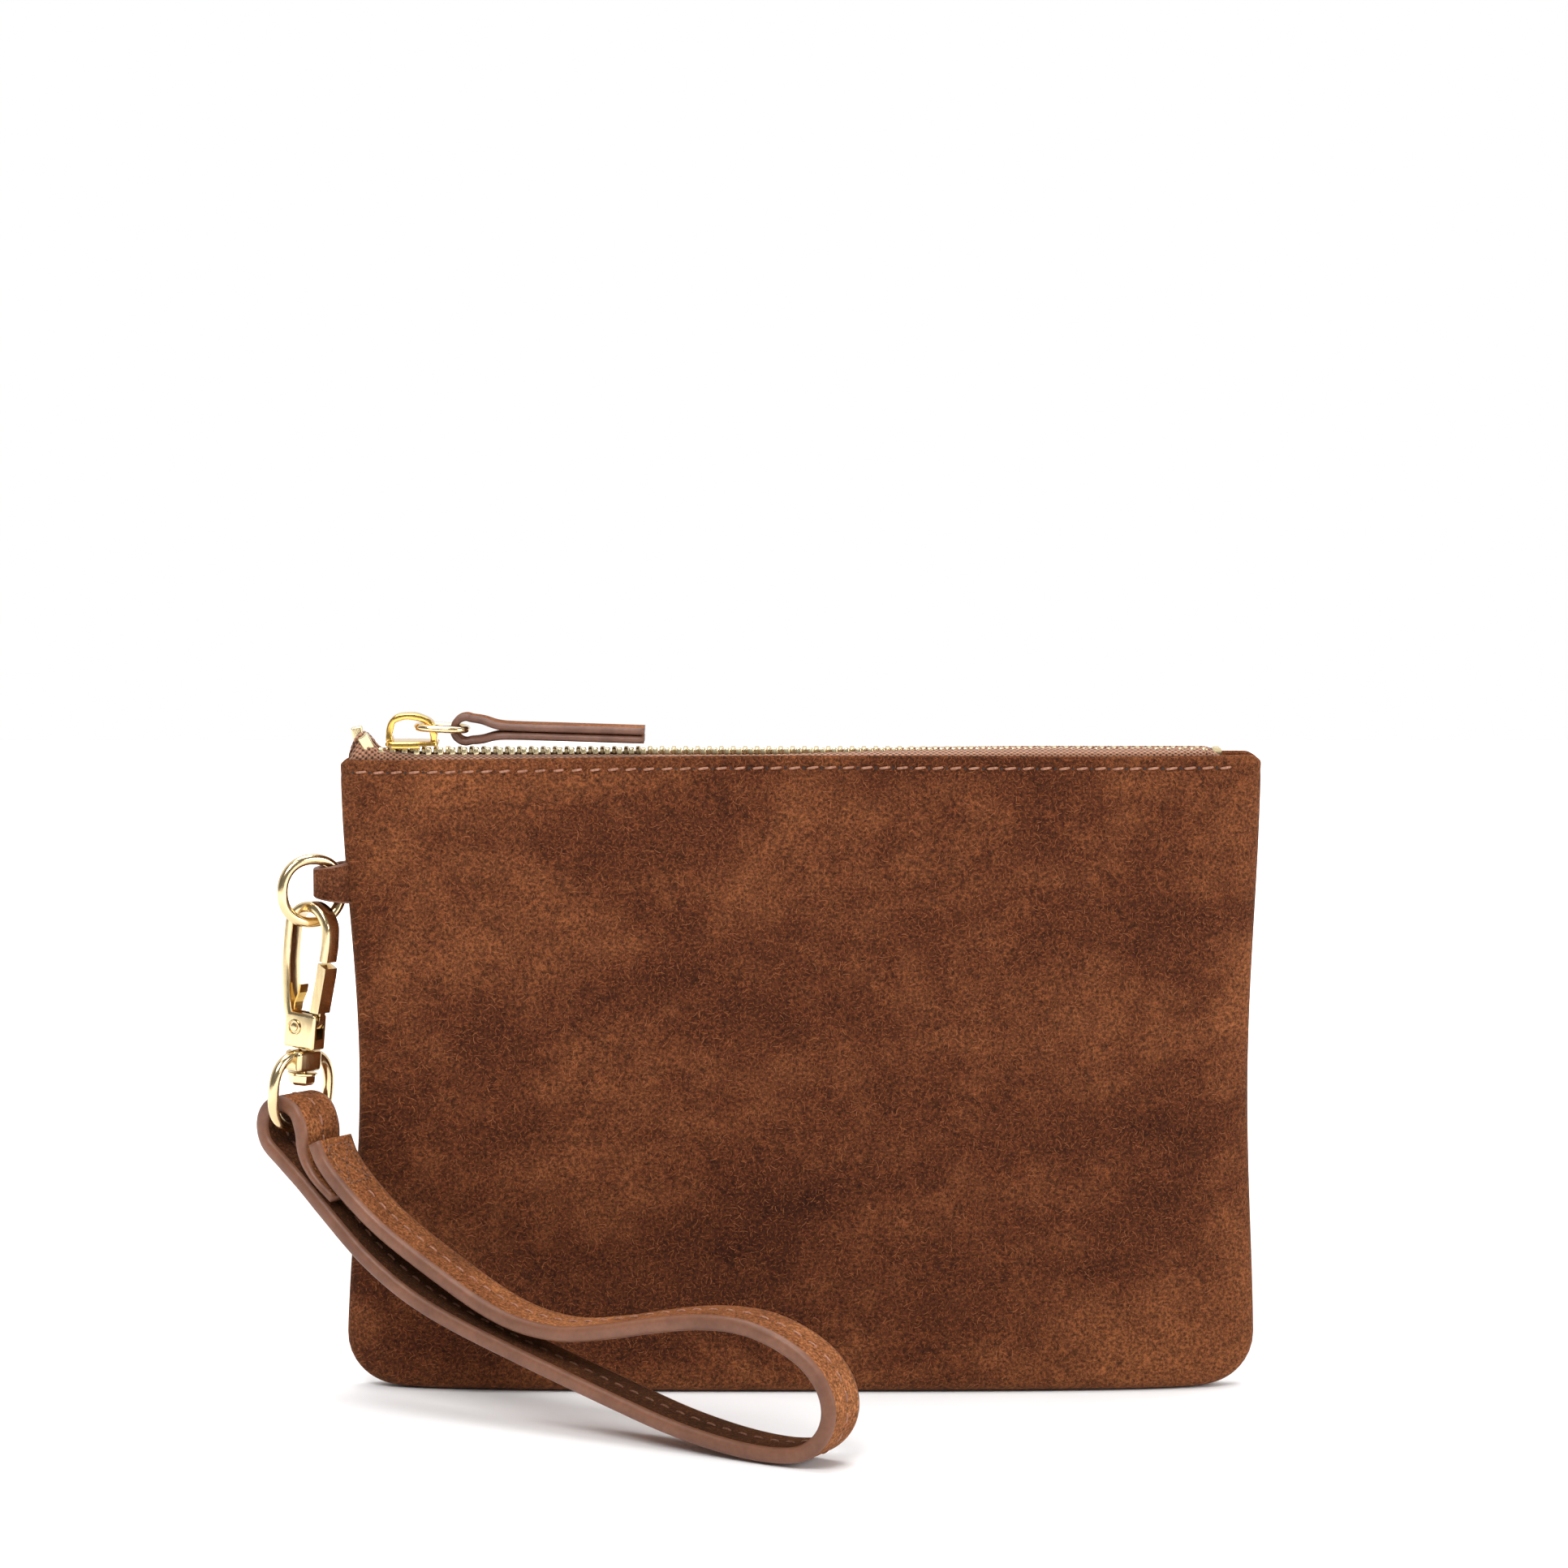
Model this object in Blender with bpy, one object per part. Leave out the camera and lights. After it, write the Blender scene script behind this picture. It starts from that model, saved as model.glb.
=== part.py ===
"""A suede wristlet pouch with a zip along its top, a side ring, a swivel snap hook and a wrist strap.

The origin is the middle of the pouch's flat base. +X runs along the zip, away from the hook,
-Y is the front and +Z is up. Lengths are written in millimetres and scaled to metres by MM.
"""

import math

import bmesh
import bpy
from mathutils import Matrix, Vector

MM = 0.001

# Pouch body. The front and back panels part a little behind the middle, so the base's centre is on one.
LEFT_HALF_WIDTH = 100.0
RIGHT_HALF_WIDTH = 100.9
LEFT_WAIST = 3.3
RIGHT_WAIST = 2.0
POUCH_HEIGHT = 140.0
CORNER_RADIUS = 12.0
BODY_HALF_DEPTH = 8.4
MOUTH_HALF_DEPTH = 7.3
FULLNESS = 0.6
BASE_ROUNDING = 3.2
PARTING_Y = 1.5
HALF_GAP = 0.15
SUEDE_THICKNESS = 1.4
LINING_OFFSET = 1.7
LINING_THICKNESS = 0.4
LINING_TOP = 126.0
PANEL_COLUMNS = 22
BASE_LEVELS = (0.0, 0.35, 1.2, 2.4, 4.2, 7.5, 12.0)
WALL_LEVELS = (26.0, 44.0, 62.0, 80.0, 98.0, 114.0)

# Zip
ZIP_CENTRE_Z = 140.9
TOOTH_PITCH = 2.6
TOOTH_COUNT = 70
TOOTH_WIDTH = 0.95
TOOTH_REACH = 0.9
TOOTH_HEIGHT = 2.2
SPINE_INNER = 1.9
SPINE_OUTER = 3.0
ROW_START = -91.0
TAPE_THICKNESS = 0.5
TAPE_BOTTOM = 127.0
TAPE_LEFT = -97.0
TAPE_RIGHT = 94.0
TAPE_STATIONS = 24
TOP_STOP_X = -95.5
BOTTOM_STOP_X = 91.2

# Slider and pull
SLIDER_LEFT = -90.0
SLIDER_RIGHT = -78.6
SLIDER_HALF_WIDTH = 4.3
PLATE_LOW = 1.4
PLATE_THICKNESS = 1.0
LOWER_PLATE_LOW = -2.5
CROWN_TOP = 8.1
CROWN_HALF_WIDTH = 1.4
CROWN_THICKNESS = 1.0
PULL_RING_WIRE = 0.75
PULL_RING_HALF_LENGTH = 5.4
PULL_RING_HALF_WIDTH = 4.4
PULL_RING_PIVOT = (-83.2, 0.0, 146.4)
PULL_RING_TILT = 3.0
PULL_TILT = 1.8
PULL_LEATHER = 1.6
PULL_FOLD_RADIUS = 1.9
PULL_LENGTH = 42.3
PULL_NECK_HALF_WIDTH = 3.0
PULL_HALF_WIDTH = 4.2

# Side ring and its tab
WIRE_RADIUS = 1.2
SIDE_RING_RADIUS = 6.95
SIDE_RING_YAW = 28.0
SIDE_RING_AXIS = (-100.1, 0.0, 110.6)
TAB_BOTTOM = 108.7
TAB_TOP = 115.4
TAB_LEATHER = 1.3
TAB_INNER_RADIUS = 3.2
TAB_BULB_X = -101.8
TAB_TAIL_X = -96.5

# Snap hook, in its own frame: the origin is on the side ring's wire, z runs up the swivel's axis
HOOK_LEAN = 4.5
HOOK_YAW = -35.0
HOOK_HALF_DEPTH = 2.2
GATE_PIVOT = (-1.2, 0.0, -23.2)
GATE_TAIL_HALF_DEPTH = 0.8
GATE_BAR_HALF_DEPTH = 2.0
SLOT_HALF_DEPTH = 1.1
SLOT_FLOOR = -26.1
RIVET_RADIUS = 0.7
RIVET_HEAD_RADIUS = 1.4
PIN_CLEARANCE = 0.1
BLOCK_HALF_WIDTH = 4.2
BLOCK_TOP = -19.9
BLOCK_BOTTOM = -27.8
SHANK_RADIUS = 1.1

# Swivel eye, on the hook's axis but turned about it
EYE_YAW = 50.0
EYE_HALF_WIDTH = 8.3
EYE_HALF_HEIGHT = 8.1
EYE_CENTRE_Z = -37.2
EYE_BLOCK_TOP = -28.2
EYE_BLOCK_BOTTOM = -32.8

# Wrist strap: a band whose route is given as (distance along its heading, height)
STRAP_HALF_WIDTH = 6.0
STRAP_THICKNESS = 3.4
STRAP_SKIVED_THICKNESS = 1.9
STRAP_PLY_GAP = 0.3
STRAP_HEADING_AT_RING = 40.0
STRAP_HEADING = 29.5
STRAP_TURN_LENGTH = 25.0
STRAP_ROUTE = (
    (9.6, 56.6), (12.0, 52.2), (17.3, 46.8), (27.2, 39.0), (43.2, 30.0), (54.0, 24.8), (63.0, 22.2),
    (73.0, 21.6), (84.0, 23.4), (94.0, 25.7), (104.0, 27.6), (113.0, 28.2), (120.0, 27.4), (127.0, 25.0),
    (132.5, 21.6), (136.2, 16.8), (137.2, 11.6), (135.4, 6.8), (131.0, 3.2), (125.0, 2.0), (117.0, 2.1),
    (108.0, 3.2), (98.0, 5.2), (87.0, 8.2), (74.0, 12.0), (61.0, 15.9), (45.0, 21.0), (33.4, 25.9),
    (22.7, 32.7), (12.2, 41.9), (6.1, 47.1), (0.2, 51.3), (-4.8, 55.0), (-6.0, 59.4), (-4.0, 62.9),
    (0.0, 64.2), (4.0, 62.7), (5.8, 58.8), (6.1, 55.0), (7.2, 51.9), (9.9, 48.6), (14.6, 44.9),
)
STRAP_SKIVE_FROM = 37


def make_material(name, colour, roughness, metallic=0.0):
    material = bpy.data.materials.new(name)
    material.use_nodes = True
    shader = material.node_tree.nodes["Principled BSDF"]
    shader.inputs["Base Color"].default_value = (*colour, 1.0)
    shader.inputs["Roughness"].default_value = roughness
    shader.inputs["Metallic"].default_value = metallic
    material.diffuse_color = (*colour, 1.0)
    return material


def make_object(name, bm, material, frame=None, smooth=True):
    """Turn a bmesh in millimetres into a named object in metres, facing outwards."""
    bmesh.ops.remove_doubles(bm, verts=bm.verts, dist=0.002)
    bmesh.ops.recalc_face_normals(bm, faces=bm.faces)
    if bm.calc_volume(signed=True) < 0.0:
        bmesh.ops.reverse_faces(bm, faces=bm.faces)
    bmesh.ops.scale(bm, vec=(MM, MM, MM), verts=bm.verts)
    mesh = bpy.data.meshes.new(name)
    bm.to_mesh(mesh)
    bm.free()
    if smooth:
        mesh.shade_smooth()
        mesh.set_sharp_from_angle(angle=math.radians(35))
    mesh.materials.append(material)
    obj = bpy.data.objects.new(name, mesh)
    obj.parent = frame
    bpy.context.scene.collection.objects.link(obj)
    return obj


def world_of(frame):
    """A frame's place and turn in the world, through its parents."""
    if frame is None:
        return Matrix.Identity(4)
    return world_of(frame.parent) @ frame.matrix_basis


def make_frame(name, place, turn, parent=None):
    """A moving body's frame, an empty on its joint's axis. Its place is in millimetres in the world."""
    frame = bpy.data.objects.new(name, None)
    frame.parent = parent
    world = Matrix.Translation(Vector(place) * MM) @ turn
    frame.matrix_basis = world_of(parent).inverted() @ world
    bpy.context.scene.collection.objects.link(frame)
    return frame


def place_in(frame, point):
    """A point of a frame, in millimetres in the world."""
    return world_of(frame) @ (Vector(point) * MM) / MM


def turn_about(axis, degrees):
    return Matrix.Rotation(math.radians(degrees), 4, axis)


def add_boolean(obj, tool, operation):
    modifier = obj.modifiers.new(tool.name, "BOOLEAN")
    modifier.operation = operation
    modifier.object = tool
    tool.hide_render = True
    tool.display_type = "WIRE"


def box_bmesh(low, high, bevel=0.0):
    bm = bmesh.new()
    size = Vector(high) - Vector(low)
    centre = (Vector(high) + Vector(low)) / 2
    bmesh.ops.create_cube(bm, size=1.0, matrix=Matrix.Translation(centre) @ Matrix.Diagonal((*size, 1.0)))
    if bevel:
        bmesh.ops.bevel(bm, geom=bm.edges, offset=bevel, segments=2, affect="EDGES")
    return bm


def loft_bmesh(loops, closed=False):
    """Join loops that have the same number of points. An open loft gets a cap on each end."""
    bm = bmesh.new()
    rings = [[bm.verts.new(point) for point in loop] for loop in loops]
    count = len(rings[0])
    pairs = list(zip(rings, rings[1:]))
    if closed:
        pairs.append((rings[-1], rings[0]))
    else:
        bm.faces.new(rings[0])
        bm.faces.new(reversed(rings[-1]))
    for here, there in pairs:
        for k in range(count):
            m = (k + 1) % count
            bm.faces.new((here[k], here[m], there[m], there[k]))
    return bm


def prism_bmesh(outline, half_depth):
    """Extrude an outline of (x, z) points to both sides of y = 0."""
    return loft_bmesh([[Vector((x, y, z)) for x, z in outline] for y in (-half_depth, half_depth)])


def turned_bmesh(profile, sides, axis_turn=None):
    """Stack regular polygons, given as (height, radius), along Z, then turn the stack."""
    turn = axis_turn or Matrix.Identity(4)
    loops = []
    for height, radius in profile:
        angles = [2 * math.pi * k / sides for k in range(sides)]
        loops.append([turn @ Vector((radius * math.cos(a), radius * math.sin(a), height)) for a in angles])
    return loft_bmesh(loops)


def slab_bmesh(outer, inner):
    """Close the space between two grids of points that have the same rows and columns."""
    loops = []
    for out_row, in_row in zip(outer, inner):
        loops.append([*out_row, *reversed(in_row)])
    bm = bmesh.new()
    rings = [[bm.verts.new(point) for point in loop] for loop in loops]
    columns = len(outer[0])
    count = 2 * columns
    for here, there in zip(rings, rings[1:]):
        for k in range(count):
            m = (k + 1) % count
            bm.faces.new((here[k], here[m], there[m], there[k]))
    for ring in (rings[0], rings[-1]):
        for c in range(columns - 1):
            bm.faces.new((ring[c], ring[c + 1], ring[count - 2 - c], ring[count - 1 - c]))
    return bm


def superellipse(half_width, half_height, exponent, turn):
    power = 2.0 / exponent
    c, s = math.cos(turn), math.sin(turn)
    x = half_width * math.copysign(abs(c) ** power, c)
    z = half_height * math.copysign(abs(s) ** power, s)
    return x, z


def wire_ring_bmesh(half_width, half_height, exponent, wire, stations=32, sides=10):
    """A closed ring of round wire in the XZ plane, centred on the origin."""
    turns = [2 * math.pi * (i + 0.5) / stations for i in range(stations)]
    centres = [superellipse(half_width, half_height, exponent, turn) for turn in turns]
    loops = []
    for i, (x, z) in enumerate(centres):
        ahead, behind = centres[(i + 1) % stations], centres[i - 1]
        along = Vector((ahead[0] - behind[0], 0.0, ahead[1] - behind[1])).normalized()
        outwards = along.cross(Vector((0.0, -1.0, 0.0)))
        loop = []
        for k in range(sides):
            around = 2 * math.pi * (k + 0.5) / sides
            offset = outwards * math.cos(around) + Vector((0.0, math.sin(around), 0.0))
            loop.append(Vector((x, 0.0, z)) + offset * wire)
        loops.append(loop)
    return loft_bmesh(loops, closed=True)


def smooth_path(points, steps):
    """A Catmull-Rom curve through points given as tuples of any length."""
    points = [Vector(point) for point in points]
    ends = [points[0] * 2 - points[1], *points, points[-1] * 2 - points[-2]]
    path = []
    for a, b, c, d in zip(ends, ends[1:], ends[2:], ends[3:]):
        for i in range(steps):
            t = i / steps
            slope = (c - a) * t
            bend = (2 * a - 5 * b + 4 * c - d) * t**2
            twist = (3 * b - a - 3 * c + d) * t**3
            path.append((2 * b + slope + bend + twist) / 2)
    path.append(points[-1])
    return path


def path_normals(path):
    """The unit normal, to the left of travel, at each point of a path in the XZ plane."""
    normals = []
    for i in range(len(path)):
        along = path[min(i + 1, len(path) - 1)] - path[max(i - 1, 0)]
        normals.append(Vector((-along[1], along[0])).normalized())
    return normals


def ribbon_bmesh(path, half_thickness, half_widths):
    """A flat strip that follows a path of (x, z) points, with its width along Y."""
    loops = []
    for point, normal, half_width in zip(path, path_normals(path), half_widths):
        loop = []
        for side, across in ((1, -1), (1, 1), (-1, 1), (-1, -1)):
            spot = point + normal * half_thickness * side
            loop.append(Vector((spot[0], across * half_width, spot[1])))
        loops.append(loop)
    return loft_bmesh(loops)


# ---------------------------------------------------------------- pouch body


def pouch_half_width(z, end):
    """How far the side edge is from the middle: it draws in at mid height and turns in at the base."""
    width, waist = (LEFT_HALF_WIDTH, LEFT_WAIST) if end < 0 else (RIGHT_HALF_WIDTH, RIGHT_WAIST)
    rise = max(CORNER_RADIUS - z, 0.0)
    corner = CORNER_RADIUS - math.sqrt(CORNER_RADIUS**2 - rise**2)
    return width - waist * math.sin(math.pi * z / POUCH_HEIGHT) ** 2 - corner


def pouch_half_depth(z):
    level = BODY_HALF_DEPTH + (MOUTH_HALF_DEPTH - BODY_HALF_DEPTH) * z / POUCH_HEIGHT
    rise = max(BASE_ROUNDING - z, 0.0)
    rounding = BASE_ROUNDING - math.sqrt(BASE_ROUNDING**2 - rise**2)
    return level + FULLNESS * math.sin(math.pi * z / POUCH_HEIGHT) - rounding


def pouch_exponent(z):
    """How square the horizontal section is: squarer at the mouth, to leave room for the zip."""
    return 2.8 + 2.6 * (z / POUCH_HEIGHT) ** 3


def panel_y(z, side, share):
    """A panel's outside: share runs from 0 at the side seams to 1 in the middle."""
    seam = PARTING_Y + side * HALF_GAP
    return seam + (side * pouch_half_depth(z) - seam) * share


def panel_y_at(x, z, side):
    across = min(abs(x) / pouch_half_width(z, x), 1.0)
    exponent = pouch_exponent(z)
    return panel_y(z, side, (1.0 - across**exponent) ** (1.0 / exponent))


def pouch_point(z, turn, side):
    """A point on the outside of the front (side -1) or back (side 1) panel, turn from 0 to pi."""
    across, share = superellipse(1.0, 1.0, pouch_exponent(z), turn)
    return Vector((-across * pouch_half_width(z, -across), panel_y(z, side, abs(share)), z))


def pouch_inwards(z, turn, side):
    """The inward normal of the outside surface, along the parting plane at the side seams."""
    step = 0.03
    around = pouch_point(z, min(turn + step, math.pi), side) - pouch_point(z, max(turn - step, 0.0), side)
    if turn < step or turn > math.pi - step:
        around = Vector((0.0, 1.0, 0.0))
    up = pouch_point(z + 0.05, turn, side) - pouch_point(max(z - 0.05, 0.0), turn, side)
    normal = around.cross(up).normalized()
    middle = Vector((0.0, PARTING_Y, POUCH_HEIGHT / 2))
    outwards = pouch_point(z, turn, side) - middle
    outwards.y *= 12.0
    return -normal if normal.dot(outwards) > 0.0 else normal


def pouch_grid(levels, side, depth):
    """Rows of points on a panel's outside, moved inwards by depth. The first row is the base's seam."""
    rows = []
    for z in levels:
        row = []
        for c in range(PANEL_COLUMNS + 1):
            turn = math.pi * c / PANEL_COLUMNS
            point = pouch_point(z, turn, side)
            if z == 0.0:
                point.z = depth
                point.y -= side * depth * math.sin(turn) * 0.35
            else:
                point += pouch_inwards(z, turn, side) * depth
            row.append(point)
        rows.append(row)
    rows.insert(0, [Vector((point.x, PARTING_Y + side * HALF_GAP, point.z)) for point in rows[0]])
    return rows


def pouch_shell(name, side, levels, depth, thickness, material):
    outer = pouch_grid(levels, side, depth)
    inner = pouch_grid(levels, side, depth + thickness)
    return make_object(name, slab_bmesh(outer, inner), material)


# ---------------------------------------------------------------- zip


def tape_rows(x, side):
    """One tape's outer and inner points at x: from the teeth, out to the panel and down inside it."""
    outer, inner = [], []
    for z in (POUCH_HEIGHT - 0.9, POUCH_HEIGHT - 3.0, TAPE_BOTTOM):
        lean = math.hypot(1.0, panel_y_at(x + 0.5, z, side) - panel_y_at(x - 0.5, z, side))
        y = side * panel_y_at(x, z, side) - (SUEDE_THICKNESS + 2 * HALF_GAP) * lean
        outer.append(Vector((x, side * y, z)))
        inner.append(Vector((x, side * (y - TAPE_THICKNESS * lean), z - 0.3)))
    edge = min(SPINE_OUTER + 2 * HALF_GAP, abs(inner[0].y) - 0.15)
    outer.insert(0, Vector((x, side * edge, ZIP_CENTRE_Z + 0.1)))
    inner.insert(0, Vector((x, side * edge, ZIP_CENTRE_Z + 0.1 - TAPE_THICKNESS)))
    return outer, inner


def zip_tape(name, side, cloth):
    outer, inner = [], []
    for i in range(TAPE_STATIONS + 1):
        out_row, in_row = tape_rows(TAPE_LEFT + (TAPE_RIGHT - TAPE_LEFT) * i / TAPE_STATIONS, side)
        outer.append(out_row)
        inner.append(in_row)
    make_object(name, slab_bmesh(outer, inner), cloth)


def zip_teeth(name, side, metal):
    """One row of teeth on a common spine. The two rows mesh half a pitch apart."""
    start = ROW_START if side < 0 else ROW_START + TOOTH_PITCH / 2
    count = TOOTH_COUNT if side < 0 else TOOTH_COUNT - 1
    outline = [(ROW_START - 0.7, SPINE_OUTER), (ROW_START - 0.7, SPINE_INNER)]
    for i in range(count):
        left = start + i * TOOTH_PITCH - TOOTH_WIDTH / 2
        right = left + TOOTH_WIDTH
        outline += [(left, SPINE_INNER), (left, -TOOTH_REACH), (right, -TOOTH_REACH), (right, SPINE_INNER)]
    end = ROW_START + (TOOTH_COUNT - 1) * TOOTH_PITCH + 0.7
    outline += [(end, SPINE_INNER), (end, SPINE_OUTER)]
    loops = []
    for z in (ZIP_CENTRE_Z - TOOTH_HEIGHT / 2, ZIP_CENTRE_Z + TOOTH_HEIGHT / 2):
        loops.append([Vector((x, side * y, z)) for x, y in outline])
    make_object(name, loft_bmesh(loops), metal, smooth=False)


def zip_stops(metal):
    """A crimp past the end of each tape's row, and one across both rows at the other end."""
    low, high = ZIP_CENTRE_Z - 1.3, ZIP_CENTRE_Z + 1.3
    for side, name in ((-1, "front"), (1, "back")):
        near, far = sorted((side * 0.4, side * 1.9))
        stop = box_bmesh((TOP_STOP_X - 0.9, near, low), (TOP_STOP_X + 0.9, far, high), 0.3)
        make_object(f"zip_top_stop_{name}", stop, metal)
    stop = box_bmesh((BOTTOM_STOP_X - 1.0, -2.5, low), (BOTTOM_STOP_X + 1.0, 2.5, high - 0.3), 0.3)
    make_object("zip_bottom_stop", stop, metal)


def zip_slider(metal):
    """The slider's shell with its flanges and crown, and its lower plate."""
    frame = make_frame("slider_frame", (SLIDER_LEFT, 0.0, ZIP_CENTRE_Z), Matrix.Identity(4))
    length = SLIDER_RIGHT - SLIDER_LEFT
    top = PLATE_LOW + PLATE_THICKNESS
    half = [(0.0, 3.6), (1.2, SLIDER_HALF_WIDTH), (6.0, SLIDER_HALF_WIDTH), (length, 3.5)]
    outline = [(x, -y) for x, y in half] + list(reversed(half))
    loops = []
    for z, share in ((PLATE_LOW, 1.0), (top - 0.3, 1.0), (top, 0.93)):
        middle = length / 2
        loops.append([Vector((middle + (x - middle) * share, y * share, z)) for x, y in outline])
    shell = make_object("zip_slider", loft_bmesh(loops), metal, frame)
    for side, name in ((-1, "front"), (1, "back")):
        near, far = sorted((side * 3.45, side * (SLIDER_HALF_WIDTH - 0.15)))
        low, high = (1.4, near, PLATE_LOW - 0.45), (length - 4.0, far, PLATE_LOW + 0.3)
        add_boolean(shell, make_object(f"{name}_flange", box_bmesh(low, high), metal, frame), "UNION")
    add_boolean(shell, make_object("crown", crown_bmesh(top), metal, frame), "UNION")
    low, high = (0.6, -2.3, LOWER_PLATE_LOW), (length - 0.6, 2.3, LOWER_PLATE_LOW + 0.9)
    make_object("slider_lower_plate", box_bmesh(low, high, 0.25), metal, frame)
    return frame


def crown_bmesh(foot):
    """An arched band over the slider: steep at its left end, sloping down to its right end."""
    top = CROWN_TOP - CROWN_THICKNESS / 2
    route = (
        (1.0, foot - 0.5), (0.9, foot + 1.6), (1.7, top - 0.9), (4.0, top), (7.2, top - 0.25),
        (9.5, top - 1.5), (10.3, foot + 1.6), (10.3, foot - 0.5),
    )
    path = smooth_path(route, 3)
    return ribbon_bmesh(path, CROWN_THICKNESS / 2, [CROWN_HALF_WIDTH] * len(path))


def pull_ring(slider_frame, metal):
    frame = make_frame("pull_ring_frame", PULL_RING_PIVOT, turn_about("Y", PULL_RING_TILT), slider_frame)
    bm = wire_ring_bmesh(PULL_RING_HALF_LENGTH, PULL_RING_HALF_WIDTH, 3.0, PULL_RING_WIRE, 28, 8)
    lay_flat = Matrix.Translation((PULL_RING_HALF_LENGTH, 0.0, 0.0)) @ turn_about("X", 90.0)
    bmesh.ops.transform(bm, matrix=lay_flat, verts=bm.verts)
    make_object("pull_ring", bm, metal, frame)
    return frame


def zip_pull(ring_frame, leather):
    """One strip of leather folded round the ring, its two halves lying together."""
    place = place_in(ring_frame, (2 * PULL_RING_HALF_LENGTH, 0.0, 0.0))
    frame = make_frame("zip_pull_frame", place, turn_about("Y", PULL_TILT), ring_frame)
    fold = PULL_FOLD_RADIUS + PULL_LEATHER / 2
    lie = PULL_LEATHER / 2 + HALF_GAP
    right = PULL_LENGTH - fold - PULL_LEATHER / 2
    upper = [(right, lie), (right * 0.65, lie), (right * 0.35, lie), (7.0, lie + 0.2), (3.6, fold - 0.6)]
    arc = [(fold * math.cos(math.radians(a)), fold * math.sin(math.radians(a))) for a in range(65, 181, 23)]
    upper += arc
    lower = [(x, -z) for x, z in reversed(upper)][1:]
    path = smooth_path(upper + lower, 2)
    widths = []
    for point in path:
        spread = min(max((point[0] - 2.0) / 5.0, 0.0), 1.0)
        widths.append(PULL_NECK_HALF_WIDTH + (PULL_HALF_WIDTH - PULL_NECK_HALF_WIDTH) * spread)
    make_object("zip_pull", ribbon_bmesh(path, PULL_LEATHER / 2, widths), leather, frame)


# ---------------------------------------------------------------- side tab and ring


def side_tab(panels, suede):
    """A strip folded into an open loop that stands out of the side seam, its ends in the seam."""
    outer_radius = TAB_INNER_RADIUS + TAB_LEATHER
    outer, inner = [], []
    for degrees in range(50, 311, 20):
        ray = Vector((math.cos(math.radians(degrees)), math.sin(math.radians(degrees)), 0.0))
        outer.append(Vector((TAB_BULB_X, 0.0, 0.0)) + ray * outer_radius)
        inner.append(Vector((TAB_BULB_X, 0.0, 0.0)) + ray * TAB_INNER_RADIUS)
    outer += [Vector((TAB_TAIL_X, -TAB_LEATHER, 0.0)), Vector((TAB_TAIL_X, TAB_LEATHER, 0.0))]
    inner += [Vector((TAB_TAIL_X - 1.4, -0.05, 0.0)), Vector((TAB_TAIL_X - 1.4, 0.05, 0.0))]
    loops = []
    for outline, z in ((outer, TAB_BOTTOM), (outer, TAB_TOP), (inner, TAB_TOP), (inner, TAB_BOTTOM)):
        loops.append([point + Vector((0.0, 0.0, z)) for point in outline])
    make_object("side_tab", loft_bmesh(loops, closed=True), suede)
    reach = outer_radius + 2 * HALF_GAP
    low = (TAB_BULB_X, -reach, TAB_BOTTOM - 2 * HALF_GAP)
    high = (TAB_TAIL_X + 2 * HALF_GAP, reach, TAB_TOP + 2 * HALF_GAP)
    notch = make_object("tab_notch", box_bmesh(low, high), suede)
    for panel in panels:
        add_boolean(panel, notch, "DIFFERENCE")


def side_ring(metal):
    frame = make_frame("side_ring_frame", SIDE_RING_AXIS, turn_about("Z", SIDE_RING_YAW))
    bm = wire_ring_bmesh(SIDE_RING_RADIUS, SIDE_RING_RADIUS, 2.15, WIRE_RADIUS, 36, 10)
    bmesh.ops.translate(bm, vec=(-SIDE_RING_RADIUS, 0.0, 0.0), verts=bm.verts)
    make_object("side_ring", bm, metal, frame)
    return frame


# ---------------------------------------------------------------- snap hook


def hook_frame_on(ring_frame):
    """The hook hangs on the lowest point of the side ring, leaning a little."""
    place = place_in(ring_frame, (-SIDE_RING_RADIUS, 0.0, -SIDE_RING_RADIUS))
    turn = turn_about("Y", HOOK_LEAN) @ turn_about("Z", HOOK_YAW)
    return make_frame("hook_frame", place, turn, ring_frame)


def hook_bar_bmesh():
    """The bent bar: up from the block, over the ring and down to the nose."""
    arch = [(5.4 * math.cos(math.radians(a)), -2.4 + 5.8 * math.sin(math.radians(a))) for a in range(165, 14, -15)]
    centre = [(-3.4, -21.8), (-4.3, -18.0), (-5.0, -13.0), (-5.4, -8.0), *arch, (5.4, -4.5), (5.1, -7.9)]
    slim = 1.1
    swell = [slim + 0.25 * math.sin(math.radians(a)) for a in range(165, 14, -15)]
    half_widths = [slim, slim, slim, slim, *swell, 1.2, 1.2]
    path = [Vector(point) for point in centre]
    loops = []
    for point, normal, half_width in zip(path, path_normals(path), half_widths):
        loop = []
        for k in range(12):
            across, deep = superellipse(half_width, HOOK_HALF_DEPTH, 3.6, 2 * math.pi * (k + 0.5) / 12)
            spot = point + normal * across
            loop.append(Vector((spot[0], deep, spot[1])))
        loops.append(loop)
    return loft_bmesh(loops)


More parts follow.
